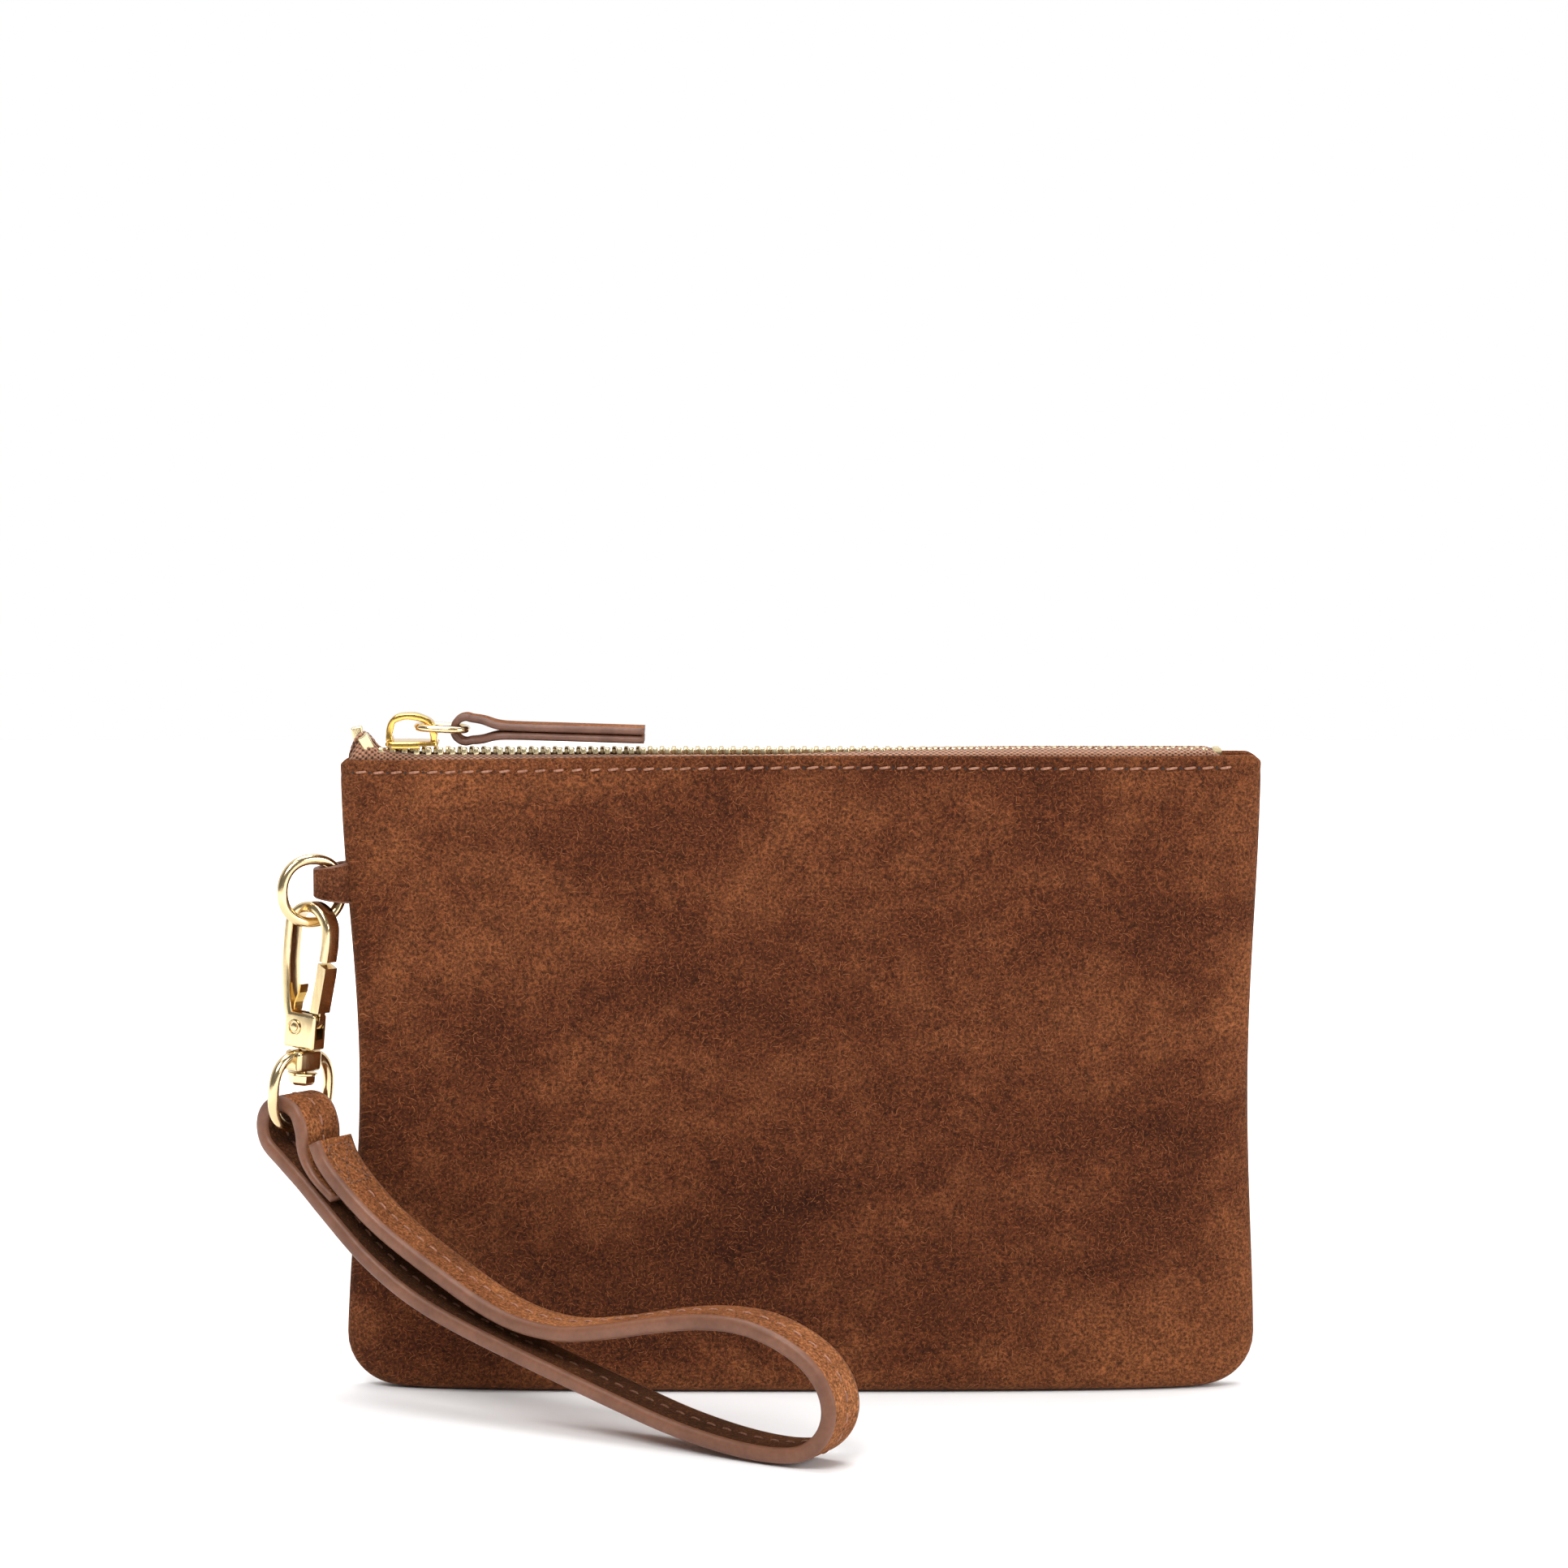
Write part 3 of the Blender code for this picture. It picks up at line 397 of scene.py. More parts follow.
def thread(name, colour, deep):
    s = Shader(name, colour, 0.7)
    ply = s.noise(2600.0, 2.0, s.scaled((1.0, 1.0, 0.35)))
    s.drive(Base_Color=s.ramp(ply, (0.3, deep), (0.65, colour)))
    s.drive(Roughness=s.ramp(ply, (0.3, 0.8), (0.7, 0.6)))
    s.drive(Normal=s.bump(ply, 0.0001, 0.7))
    return s.material


# ---------------------------------------------------------------- mesh helpers


def add_piece(name, points, faces, materials, body, slots_of=None):
    """A mesh from points in millimetres, riding on a body, with one material index for each face."""
    mesh = bpy.data.meshes.new(name)
    mesh.from_pydata([tuple(c * MM for c in p) for p in points], [], faces)
    mesh.validate()
    for material in materials:
        mesh.materials.append(material)
    if slots_of is not None:
        mesh.polygons.foreach_set("material_index", slots_of)
    mesh.shade_smooth()
    obj = bpy.data.objects.new(name, mesh)
    bpy.context.scene.collection.objects.link(obj)
    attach(obj, body)
    return obj


class Mesh:
    """Points and faces gathered from several closed shapes, to make one piece."""

    def __init__(self):
        self.points, self.faces, self.slots = [], [], []

    def loft(self, loops, closed=False, slot_of=None, slot=0):
        """Join loops of points. slot_of(k) gives the material of the faces between points k and k + 1."""
        base, count = len(self.points), len(loops[0])
        for loop in loops:
            self.points.extend(tuple(p) for p in loop)
        spans = len(loops) if closed else len(loops) - 1
        for i in range(spans):
            here, there = base + i * count, base + (i + 1) % len(loops) * count
            for k in range(count):
                m = (k + 1) % count
                self.faces.append((here + k, here + m, there + m, there + k))
                self.slots.append(slot_of(k) if slot_of else slot)
        if not closed:
            last = base + (len(loops) - 1) * count
            self.faces.append(tuple(base + k for k in reversed(range(count))))
            self.faces.append(tuple(last + k for k in range(count)))
            self.slots += [slot, slot]

    def make(self, name, materials, body, slot):
        obj = add_piece(name, self.points, self.faces, materials, body, self.slots)
        face_outwards(obj)
        return obj


def face_outwards(obj):
    bm = bmesh.new()
    bm.from_mesh(obj.data)
    bmesh.ops.recalc_face_normals(bm, faces=bm.faces)
    bm.to_mesh(obj.data)
    bm.free()
    obj.data.shade_smooth()


def sharpen(obj, degrees=40):
    obj.data.set_sharp_from_angle(angle=math.radians(degrees))


def superellipse(half_width, half_height, exponent, turn):
    power = 2.0 / exponent
    c, s = math.cos(turn), math.sin(turn)
    x = half_width * math.copysign(abs(c) ** power, c)
    z = half_height * math.copysign(abs(s) ** power, s)
    return x, z


def smooth_path(points, steps):
    """A Catmull-Rom curve through points given as tuples of any length."""
    points = [Vector(point) for point in points]
    ends = [points[0] * 2 - points[1], *points, points[-1] * 2 - points[-2]]
    path = []
    for a, b, c, d in zip(ends, ends[1:], ends[2:], ends[3:]):
        for i in range(steps):
            t = i / steps
            slope = (c - a) * t
            bend = (2 * a - 5 * b + 4 * c - d) * t**2
            twist = (3 * b - a - 3 * c + d) * t**3
            path.append((2 * b + slope + bend + twist) / 2)
    path.append(points[-1])
    return path


def path_normals(path):
    """The unit normal, to the left of travel, at each point of a path in a plane."""
    normals = []
    for i in range(len(path)):
        along = path[min(i + 1, len(path) - 1)] - path[max(i - 1, 0)]
        normals.append(Vector((-along[1], along[0])).normalized())
    return normals


def turn_about(axis, degrees):
    return Matrix.Rotation(math.radians(degrees), 4, axis)


def stitch(mesh, start, end, outwards, radius, lift):
    """One visible stitch: a short bowed thread whose ends sink into their needle holes."""
    start, end, outwards = Vector(start), Vector(end), Vector(outwards).normalized()
    along = (end - start).normalized()
    side = along.cross(outwards)
    loops = []
    for i in range(7):
        t = i / 6
        rise = lift * (math.sin(math.pi * t) ** 0.6) - radius * 1.6 * (abs(2 * t - 1) ** 6)
        middle = start.lerp(end, t) + outwards * rise
        girth = radius * (0.55 + 0.45 * math.sin(math.pi * t) ** 0.4)
        ring = []
        for k in range(7):
            a = 2 * math.pi * k / 7
            ring.append(middle + outwards * math.cos(a) * girth + side * math.sin(a) * girth * 1.15)
        loops.append(ring)
    mesh.loft(loops)


def needle_hole(mesh, place, outwards, radius):
    """Painted shade in a shallow needle-hole pit: a small dark closed lens just proud of the surface."""
    place, outwards = Vector(place), Vector(outwards).normalized()
    side = outwards.orthogonal().normalized()
    other = outwards.cross(side)
    loops = []
    for rise, share in ((-0.12, 0.35), (-0.02, 1.0), (0.05, 0.35)):
        ring = []
        for k in range(8):
            a = 2 * math.pi * k / 8
            ring.append(place + outwards * rise + (side * math.cos(a) + other * math.sin(a)) * radius * share)
        loops.append(ring)
    mesh.loft(loops)


# ---------------------------------------------------------------- materials in use

SUEDE = suede("suede_nap", srgb(50, 22, 10), srgb(72, 36, 18), srgb(106, 61, 34))
STRAP_SUEDE = suede("strap_nap", srgb(88, 49, 27), srgb(118, 70, 40), srgb(148, 95, 58), 40.0, flat=False)
# A darker copy of the strap suede for the band's inner wide face: painted shade
STRAP_SHADE = suede("strap_inside_painted_shade", srgb(40, 20, 9), srgb(58, 31, 15), srgb(80, 45, 24), 40.0, flat=False)
TAB_SUEDE = suede("tab_nap", srgb(56, 28, 16), srgb(74, 39, 22), srgb(98, 57, 34), 40.0, flat=False)
STRAP_PAINT = edge_paint("strap_edge_paint", srgb(120, 78, 57), srgb(98, 61, 43))
PULL_PAINT = edge_paint("pull_edge_paint", srgb(112, 76, 60), srgb(88, 56, 43))
GOLD = metal("pale_gold_plate", srgb(222, 197, 152), 0.17)
BRASS = metal("slider_brass_plate", srgb(226, 182, 98), 0.22)
TOOTH = metal("tooth_brass_plate", srgb(226, 208, 166), 0.30)
TAPE = woven("tape_weave", srgb(172, 122, 92), srgb(52, 27, 17), 0.00135)
LINING = woven("lining_weave", srgb(128, 92, 68), srgb(84, 56, 40), 0.0007)
THREAD = thread("pink_thread", srgb(162, 112, 87), srgb(120, 78, 57))
# A darker copy of the thread for the row on face -1 and the crossed box: painted shade
PAINTED_SHADE_THREAD = thread("shaded_thread", srgb(128, 84, 60), srgb(92, 56, 38))
# Needle holes are drawn as small dark lenses: painted shade in the pits
NEEDLE_HOLE_SHADE = thread("needle_shadow", srgb(44, 22, 14), srgb(26, 12, 8))


# ---------------------------------------------------------------- pouch


def pouch_half_width(z, end):
    width, waist = (LEFT_HALF_WIDTH, LEFT_WAIST) if end < 0 else (RIGHT_HALF_WIDTH, RIGHT_WAIST)
    rise = max(CORNER_RADIUS - z, 0.0)
    corner = CORNER_RADIUS - math.sqrt(CORNER_RADIUS**2 - rise**2)
    return width - waist * math.sin(math.pi * z / POUCH_HEIGHT) ** 2 - corner


def pouch_half_depth(z):
    level = BODY_HALF_DEPTH + (MOUTH_HALF_DEPTH - BODY_HALF_DEPTH) * z / POUCH_HEIGHT
    rise = max(BASE_ROUNDING - z, 0.0)
    rounding = BASE_ROUNDING - math.sqrt(BASE_ROUNDING**2 - rise**2)
    return level + FULLNESS * math.sin(math.pi * z / POUCH_HEIGHT) - rounding


def pouch_exponent(z):
    return 2.8 + 2.6 * (z / POUCH_HEIGHT) ** 3


def edge_lift(x):
    """The top edge's slight wave: low at the left corner, highest right of the middle."""
    corner = held((abs(x) - 97.6) / 3.2)
    return 0.35 * math.sin((x + 58.0) / 30.0) + 0.006 * x + 0.25 - 1.3 * corner * corner


def parting(side):
    """Where a panel meets the other one at the seam."""
    return PARTING_Y + side * PARTING_HALF_GAP


def pouch_point(z, turn, side):
    across, share = superellipse(1.0, 1.0, pouch_exponent(z), turn)
    seam = parting(side)
    y = seam + (side * pouch_half_depth(z) - seam) * abs(share)
    return Vector((-across * pouch_half_width(z, -across), y, z))


def soft_dent(x, z, side):
    """How far the suede stands off its block shape: slow dimples, and a fuller strip above the stitches."""
    wave = math.sin(x * 0.061 + side * 1.3 + math.sin(z * 0.045) * 1.4)
    wave += 0.8 * math.sin(z * 0.083 + x * 0.027 + side * 2.1)
    wave += 0.45 * math.sin(x * 0.16 + 0.7 * math.sin(z * 0.11 + side)) * math.sin(z * 0.12 + 0.5)
    fade = held(z / 25.0) * held((POUCH_HEIGHT - z) / 14.0)
    return 0.32 * wave * fade


def stitch_line_z(x):
    return POUCH_HEIGHT - STITCH_DROP + edge_lift(x)


def blend_top(z):
    """The wave is in the top edge only and fades out down the panel."""
    return held((z - 70.0) / 60.0)


def panel_levels():
    """The heights of a panel's rows: close at the base and round the mouth stitches, wide between."""
    levels = [0.0, 0.15, 0.35, 0.7, 1.2, 1.8, 2.4, 3.2, 4.2, 5.6, 7.5, 9.6, 12.0]
    z = WIDE_ROWS_FROM
    while z < CLOSE_ROWS_FROM:
        levels.append(z)
        z += WIDE_ROW
    z = CLOSE_ROWS_FROM
    while z < POUCH_HEIGHT - 0.6:
        levels.append(z)
        z += CLOSE_ROW
    return levels


def block_normal(z, turn, side):
    """The level direction out of the panel's block shape."""
    point = pouch_point(z, turn, side)
    if not TURN_STEP < turn < math.pi - TURN_STEP:
        return Vector((math.copysign(1.0, point.x), 0.0, 0.0))
    around = pouch_point(z, turn + TURN_STEP, side) - pouch_point(z, turn - TURN_STEP, side)
    outwards = Vector((around.y, -around.x, 0.0)).normalized()
    if outwards.y * side < -0.0001 or (abs(outwards.y) < 0.02 and outwards.x * point.x < 0):
        return -outwards
    return outwards


def panel_skins(z, turn, side):
    """A panel's outside and inside at one place. The stitches pull the outside in a little."""
    point = pouch_point(z, turn, side)
    share = math.sin(turn)
    outwards = block_normal(z, turn, side)
    raised = z + edge_lift(point.x) * blend_top(z)
    puff = soft_dent(point.x, z, side) * share
    below = (stitch_line_z(point.x) - raised) / 0.62
    puff -= 0.42 * math.exp(-below * below) * min(share * 4.0, 1.0)
    outside = point + outwards * puff
    outside.z = raised
    inside = point - outwards * SUEDE_THICKNESS
    inside.z = max(raised, SUEDE_THICKNESS) if z < SUEDE_THICKNESS else raised
    if side * inside.y < side * parting(side):
        inside.y = parting(side)
    return outside, inside


def suede_panel(side, name):
    """One panel: its outside, a rolled top edge and its inside, as one closed skin."""
    turns = [math.pi * c / PANEL_TURNS for c in range(PANEL_TURNS + 1)]
    outer, inner = [], []
    for z in panel_levels():
        skins = [panel_skins(z, turn, side) for turn in turns]
        outer.append([outside for outside, _ in skins])
        inner.append([inside for _, inside in skins])
    mouth = outer[-1]
    for i in range(1, ROLL_STEPS):
        a = math.pi * i / ROLL_STEPS
        out_row = []
        for outside, inside in zip(mouth, inner[-1]):
            middle = (outside + inside) / 2
            arm = (outside - inside) / 2
            out_row.append(middle + arm * math.cos(a) + Vector((0.0, 0.0, ROLL_HEIGHT * math.sin(a))))
        outer.append(out_row)
    base = [Vector((p.x, parting(side), p.z)) for p in outer[0]]
    floor = [Vector((p.x, parting(side), p.z)) for p in inner[0]]
    rows = [base, *outer, *reversed(inner), floor]
    mesh = Mesh()
    columns = len(turns)
    for row in rows:
        mesh.points.extend(tuple(p) for p in row)
    count = len(rows)
    for r in range(count):
        s = (r + 1) % count
        for c in range(columns - 1):
            mesh.faces.append((r * columns + c, r * columns + c + 1, s * columns + c + 1, s * columns + c))
            mesh.slots.append(0)
    for c in (0, columns - 1):
        mesh.faces.append(tuple(r * columns + c for r in range(count)))
        mesh.slots.append(0)
    obj = mesh.make(f"suede_{name}", [SUEDE], "pouch", "suede")
    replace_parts(obj, f"{name}_panel")


def panel_surface(x, z, side):
    """A panel's outside at x and z, with the outward direction, for laying stitches on it."""
    half = pouch_half_width(z, x)
    exponent = pouch_exponent(z)
    seam, step = parting(side), 0.3

    def depth_at(reach):
        across = min(reach / half, 0.9999)
        share = (1.0 - across**exponent) ** (1.0 / exponent)
        return seam + (side * pouch_half_depth(z) - seam) * share

    y = depth_at(abs(x))
    fall = abs(y - depth_at(abs(x) + step)) / step
    outwards = Vector((math.copysign(fall, x), side, 0.0)).normalized()
    return Vector((x, y, z)), outwards


def panel_stitches(side, name):
    """The row along the mouth. Each stitch slants a little and ends in its needle hole."""
    rng = random.Random(SEED + side)
    threads, holes = Mesh(), Mesh()
    sunk = 0.30
    x = FIRST_STITCH_X
    while x < LAST_STITCH_X:
        z = stitch_line_z(x)
        start, out_a = panel_surface(x, z - 0.16 + rng.uniform(-0.05, 0.05), side)
        end, out_b = panel_surface(x + STITCH_LENGTH, z + 0.22 + rng.uniform(-0.05, 0.05), side)
        outwards = (out_a + out_b).normalized()
        stitch(threads, start - out_a * sunk, end - out_b * sunk, outwards, 0.27, 0.26)
        gap = (STITCH_PITCH - STITCH_LENGTH) / 2
        spot, out_c = panel_surface(x - gap, z - 0.05, side)
        needle_hole(holes, spot - out_c * 0.36, out_c, 0.42)
        x += STITCH_PITCH + rng.uniform(-0.12, 0.12)
    threads.make(f"mouth_stitches_{name}", [THREAD], "pouch", None)
    holes.make(f"mouth_needle_holes_{name}", [NEEDLE_HOLE_SHADE], "pouch", None)


for pouch_side, pouch_name in ((-1, "front"), (1, "back")):
    suede_panel(pouch_side, pouch_name)
    panel_stitches(pouch_side, pouch_name)


# ---------------------------------------------------------------- shared solid shapes


def box_piece(name, low, high, bevel, place, material, body, segments=4):
    """A box with rounded edges, in millimetres, placed by a matrix whose translation is in millimetres."""
    bm = bmesh.new()
    size, centre = Vector(high) - Vector(low), (Vector(high) + Vector(low)) / 2
    bmesh.ops.create_cube(bm, size=1.0, matrix=Matrix.Translation(centre) @ Matrix.Diagonal((*size, 1.0)))
    bmesh.ops.bevel(bm, geom=bm.edges, offset=bevel, segments=segments, profile=0.6, affect="EDGES")
    bmesh.ops.transform(bm, matrix=place, verts=bm.verts)
    points = [tuple(v.co) for v in bm.verts]
    faces = [tuple(v.index for v in face.verts) for face in bm.faces]
    bm.free()
    return add_piece(name, points, faces, [material], body)


def turned_mesh(mesh, profile, sides, place, slot=0):
    """Stack regular polygons, given as (height, radius), along Z."""
    loops = []
    for height, radius in profile:
        ring = []
        for k in range(sides):
            a = 2 * math.pi * (k + 0.5) / sides
            ring.append(place @ Vector((radius * math.cos(a), radius * math.sin(a), height)))
        loops.append(ring)
    mesh.loft(loops, slot=slot)


def cut(obj, tool, operation):
    """Join or cut with another piece, and leave one plain mesh."""
    modifier = obj.modifiers.new("cut", "BOOLEAN")
    modifier.operation = operation
    modifier.solver = "EXACT"
    modifier.object = tool
    bpy.context.view_layer.update()
    graph = bpy.context.evaluated_depsgraph_get()
    made = bpy.data.meshes.new_from_object(obj.evaluated_get(graph))
    obj.modifiers.clear()
    obj.data = made
    bpy.data.objects.remove(tool)
    made.shade_smooth()
    sharpen(obj, CUT_SHARP_DEGREES)


def cut_box(obj, operation, low, high, bevel, place, body, segments=4):
    """Join or cut with a box that has rounded edges."""
    material = obj.data.materials[0]
    cut(obj, box_piece("tool", low, high, bevel, place, material, body, segments), operation)


def round_bar(path, normals, half_widths, half_depths, corner, place, steps=4):
    """Loops of a rounded rectangle along a path of (x, z) points. Its depth is along Y."""
    loops = []
    for point, normal, half_width, half_depth in zip(path, normals, half_widths, half_depths):
        radius = min(corner, half_width * 0.95, half_depth * 0.95)
        loop = []
        for quarter, (a, b) in enumerate(((1, 1), (-1, 1), (-1, -1), (1, -1))):
            for k in range(steps):
                turn = math.radians(90 * (quarter + k / (steps - 1)))
                across = a * (half_width - radius) + radius * math.cos(turn)
                deep = b * (half_depth - radius) + radius * math.sin(turn)
                spot = point + normal * across
                loop.append(place @ Vector((spot[0], deep, spot[1])))
        loops.append(loop)
    return loops


def wire_loops(half_width, half_height, exponent, wire, stations, sides, place):
    """Loops of round wire along a closed, rounded outline in the XZ plane."""
    centres = []
    for i in range(stations):
        turn = 2 * math.pi * (i + 0.5) / stations
        centres.append(superellipse(half_width, half_height, exponent, turn))
    loops = []
    for i, (x, z) in enumerate(centres):
        ahead, behind = centres[(i + 1) % stations], centres[i - 1]
        along = Vector((ahead[0] - behind[0], 0.0, ahead[1] - behind[1])).normalized()
        outwards = along.cross(Vector((0.0, -1.0, 0.0)))
        loop = []
        for k in range(sides):
            a = 2 * math.pi * k / sides
            off = outwards * (wire * math.cos(a)) + Vector((0.0, wire * math.sin(a), 0.0))
            loop.append(place @ (Vector((x, 0.0, z)) + off))
        loops.append(loop)
    return loops


def frame_at(place, turn):
    return Matrix.Translation(place) @ turn


RING_FRAME = frame_at(SIDE_RING_AXIS, turn_about("Z", SIDE_RING_YAW))
HOOK_PLACE = RING_FRAME @ Vector((-SIDE_RING_RADIUS, 0.0, -SIDE_RING_RADIUS))
HOOK_FRAME = frame_at(HOOK_PLACE, turn_about("Y", HOOK_LEAN) @ turn_about("Z", HOOK_YAW))
EYE_PLACE = HOOK_FRAME @ Vector((0.0, 0.0, EYE_CENTRE_Z))
EYE_FRAME = frame_at(EYE_PLACE, turn_about("Y", HOOK_LEAN) @ turn_about("Z", EYE_YAW))
STRAP_WIRE = EYE_FRAME @ Vector((0.0, 0.0, -EYE_HALF_HEIGHT))
PULL_RING_FRAME = frame_at(Vector((-83.2, 0.0, 146.4)), turn_about("Y", 3.0))
PULL_PLACE = PULL_RING_FRAME @ Vector((10.8, 0.0, 0.0))
PULL_FRAME = frame_at(PULL_PLACE, turn_about("Y", 1.8))


def slider():
    """The slider's shell: a plate with turned-down sides, under a broad hammered crown."""
    place = Matrix.Translation((SLIDER_X, 0.0, ZIP_Z))
    middle_x = 5.7
    outline = [(0.0, 3.2), (0.5, 3.9), (1.6, 4.3), (6.0, 4.3), (8.6, 4.0), (10.9, 3.5), (11.4, 3.1)]
    path = smooth_path(outline, 4)
    ring = [(p[0], -p[1]) for p in path] + [(p[0], p[1]) for p in reversed(path)]
    mesh = Mesh()
    loops = []
    for z, share in ((1.42, 0.96), (1.55, 1.0), (2.1, 1.0), (2.32, 0.97), (2.4, 0.92)):
        loops.append([place @ Vector((middle_x + (x - middle_x) * share, y * share, z)) for x, y in ring])
    mesh.loft(loops)
    made = mesh.make("polished_slider", [BRASS], "slider", "slider_brass")
    for side in (-1, 1):
        near, far = sorted((side * 3.45, side * 4.2))
        cut_box(made, "UNION", (1.4, near, 0.95), (7.6, far, 1.8), 0.16, place, "slider")
    crown = [(0.9, 1.9), (0.75, 3.9), (1.6, 6.75), (4.0, 7.75)]
    crown += [(7.2, 7.5), (9.6, 6.2), (10.4, 4.0), (10.4, 1.9)]
    path = smooth_path(crown, 10)
    rng = random.Random(SEED)
    beaten = [1.95 + 0.05 * math.sin(i * 0.35) for i in range(len(path))]
    thick = [0.72 + 0.045 * math.sin(i * 0.55) + rng.uniform(-0.012, 0.012) for i in range(len(path))]
    band = Mesh()
    band.loft(round_bar(path, path_normals(path), thick, beaten, 0.35, place, 4))
    cut(made, band.make("crown", [BRASS], "slider", "slider_brass"), "UNION")
    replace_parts(made, "zip_slider")


def dress(node, material, bevel=0.0):
    """Give a CAD node its finish, with its edges eased by a bevel."""
    obj = bpy.data.objects[node]
    obj.data.materials.clear()
    obj.data.materials.append(material)
    if bevel:
        modifier = obj.modifiers.new("eased edges", "BEVEL")
        modifier.width = bevel * MM
        modifier.segments = 3
        modifier.limit_method = "ANGLE"
        modifier.angle_limit = math.radians(34)
        modifier.harden_normals = True


# ---------------------------------------------------------------- rings, hook, gate and eye


def rings():
    mesh = Mesh()
    place = RING_FRAME @ Matrix.Translation((-SIDE_RING_RADIUS, 0.0, 0.0))
    radius = SIDE_RING_RADIUS
    mesh.loft(wire_loops(radius, radius, 2.15, WIRE_RADIUS, WIRE_STATIONS, WIRE_SIDES, place), closed=True)
    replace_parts(mesh.make("polished_side_ring", [GOLD], "ring", "pale_gold"), "side_ring")
    mesh = Mesh()
    half_length, half_width, wire = 5.4, 4.4, 0.75
    place = PULL_RING_FRAME @ Matrix.Translation((half_length, 0.0, 0.0)) @ turn_about("X", 90.0)
    mesh.loft(wire_loops(half_length, half_width, 3.0, wire, 96, 18, place), closed=True)
    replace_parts(mesh.make("polished_pull_ring", [GOLD], "pull_link", "pale_gold"), "pull_ring")


def hook_and_block():
    """The bent bar and its block, slotted for the gate."""
    arch_z, arch_half_width, arch_rise = -2.4, 5.4, 5.92
    arch = []
    for degrees in range(165, 14, -15):
        ray = math.radians(degrees)
        arch.append((arch_half_width * math.cos(ray), arch_z + arch_rise * math.sin(ray)))
    centre = [(-3.2, -21.8), (-4.3, -18.0), (-5.0, -13.0), (-5.4, -8.0), *arch, (5.4, -4.5), (5.1, -7.9)]
    path = smooth_path(centre, 6)
    widths = [1.05 + 0.08 * max((point[1] - arch_z) / 5.8, 0.0) for point in path]
    depths = [HOOK_HALF_DEPTH] * len(path)
    mesh = Mesh()
    mesh.loft(round_bar(path, path_normals(path), widths, depths, 0.75, HOOK_FRAME, 5))
    body = mesh.make("polished_hook", [GOLD], "hook", "pale_gold")
    low, high = (-4.2, -HOOK_HALF_DEPTH, -27.8), (4.2, HOOK_HALF_DEPTH, -19.9)
    cut_box(body, "UNION", low, high, 0.7, HOOK_FRAME, "hook")
    low, high = (-3.4, -1.1, -25.35), (5.2, 1.1, -16.9)
    cut_box(body, "DIFFERENCE", low, high, 0.1, HOOK_FRAME, "hook")
    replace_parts(body, "hook_body")


def rivet():
    """A plain domed rivet with one raised ring, through the block and the gate's tail."""
    half = [(2.62, 0.3), (2.60, 0.75), (2.54, 0.92), (2.34, 0.98), (2.34, 1.28)]
    half += [(2.56, 1.36), (2.60, 1.55), (2.5, 1.72), (2.25, 1.76), (2.25, 0.7)]
    profile = half + [(-height, radius) for height, radius in reversed(half)]
    place = HOOK_FRAME @ Matrix.Translation((-1.2, 0.0, -23.2)) @ turn_about("X", 90.0)
    mesh = Mesh()
    turned_mesh(mesh, profile, 36, place)
    made = mesh.make("polished_rivet", [GOLD], "hook", "pale_gold")
    sharpen(made, 50)
    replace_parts(made, "gate_rivet")


def pin():
    """The swivel's shank, its flange and a six-sided head with eased corners."""
    mesh = Mesh()
    shank = [(-28.1, 1.1), (-33.05, 1.1)]
    flange = [(-33.1, 3.1), (-33.2, 3.3), (-33.55, 3.3), (-33.7, 3.1), (-33.7, 1.0)]
    turned_mesh(mesh, shank + flange, 36, HOOK_FRAME)
    head = [(-33.5, 2.6), (-33.7, 2.9), (-35.2, 2.9), (-35.65, 2.65), (-35.9, 2.2)]
    turned_mesh(mesh, head, 6, HOOK_FRAME)
    made = mesh.make("polished_pin", [GOLD], "hook", "pale_gold")
    sharpen(made, 25)
    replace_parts(made, "swivel_pin")


def eye():
    """The rounded ring under its pierced block."""
    mesh = Mesh()
    wire = (WIRE_RADIUS, WIRE_STATIONS, WIRE_SIDES)
    mesh.loft(wire_loops(EYE_HALF_WIDTH, EYE_HALF_HEIGHT, 2.6, *wire, EYE_FRAME), closed=True)
    made = mesh.make("polished_eye", [GOLD], "eye", "pale_gold")
    top, low = -28.2 - EYE_CENTRE_Z, -32.8 - EYE_CENTRE_Z
    cut_box(made, "UNION", (-3.6, -2.4, low), (3.6, 2.4, top), 1.0, EYE_FRAME, "eye", 5)
    bore = Mesh()
    turned_mesh(bore, [(low - 2.0, 1.25), (top + 2.0, 1.25)], 36, EYE_FRAME)
    cut(made, bore.make("bore", [GOLD], "eye", "pale_gold"), "DIFFERENCE")
    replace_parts(made, "swivel_eye")


slider()
rings()
hook_and_block()
rivet()
pin()
eye()
dress("hook_gate", GOLD, 0.3)
dress("gate_spring", BRASS)
dress("slider_lower_plate", BRASS, 0.12)
dress("front_lining", LINING)
dress("back_lining", LINING)


# ---------------------------------------------------------------- zip


def tape_lift(x):
    """The tape stands up past its left stop and dips into the seam at its right end."""
    proud = 0.34 * held((x - 22.0) / 30.0)
    sag = held((x + 89.5) / 9.0) * (1.0 - held((x + 12.0) / 40.0))
    sag = 1.05 * sag * sag * (3.0 - 2.0 * sag)
    rounded = 5.2 * held((-94.9 - x) / 3.4) ** 2.4
    return proud - sag - rounded + 3.6 * eased((-90.8 - x) / 4.2) - 2.6 * eased((x - 88.5) / 6.0)


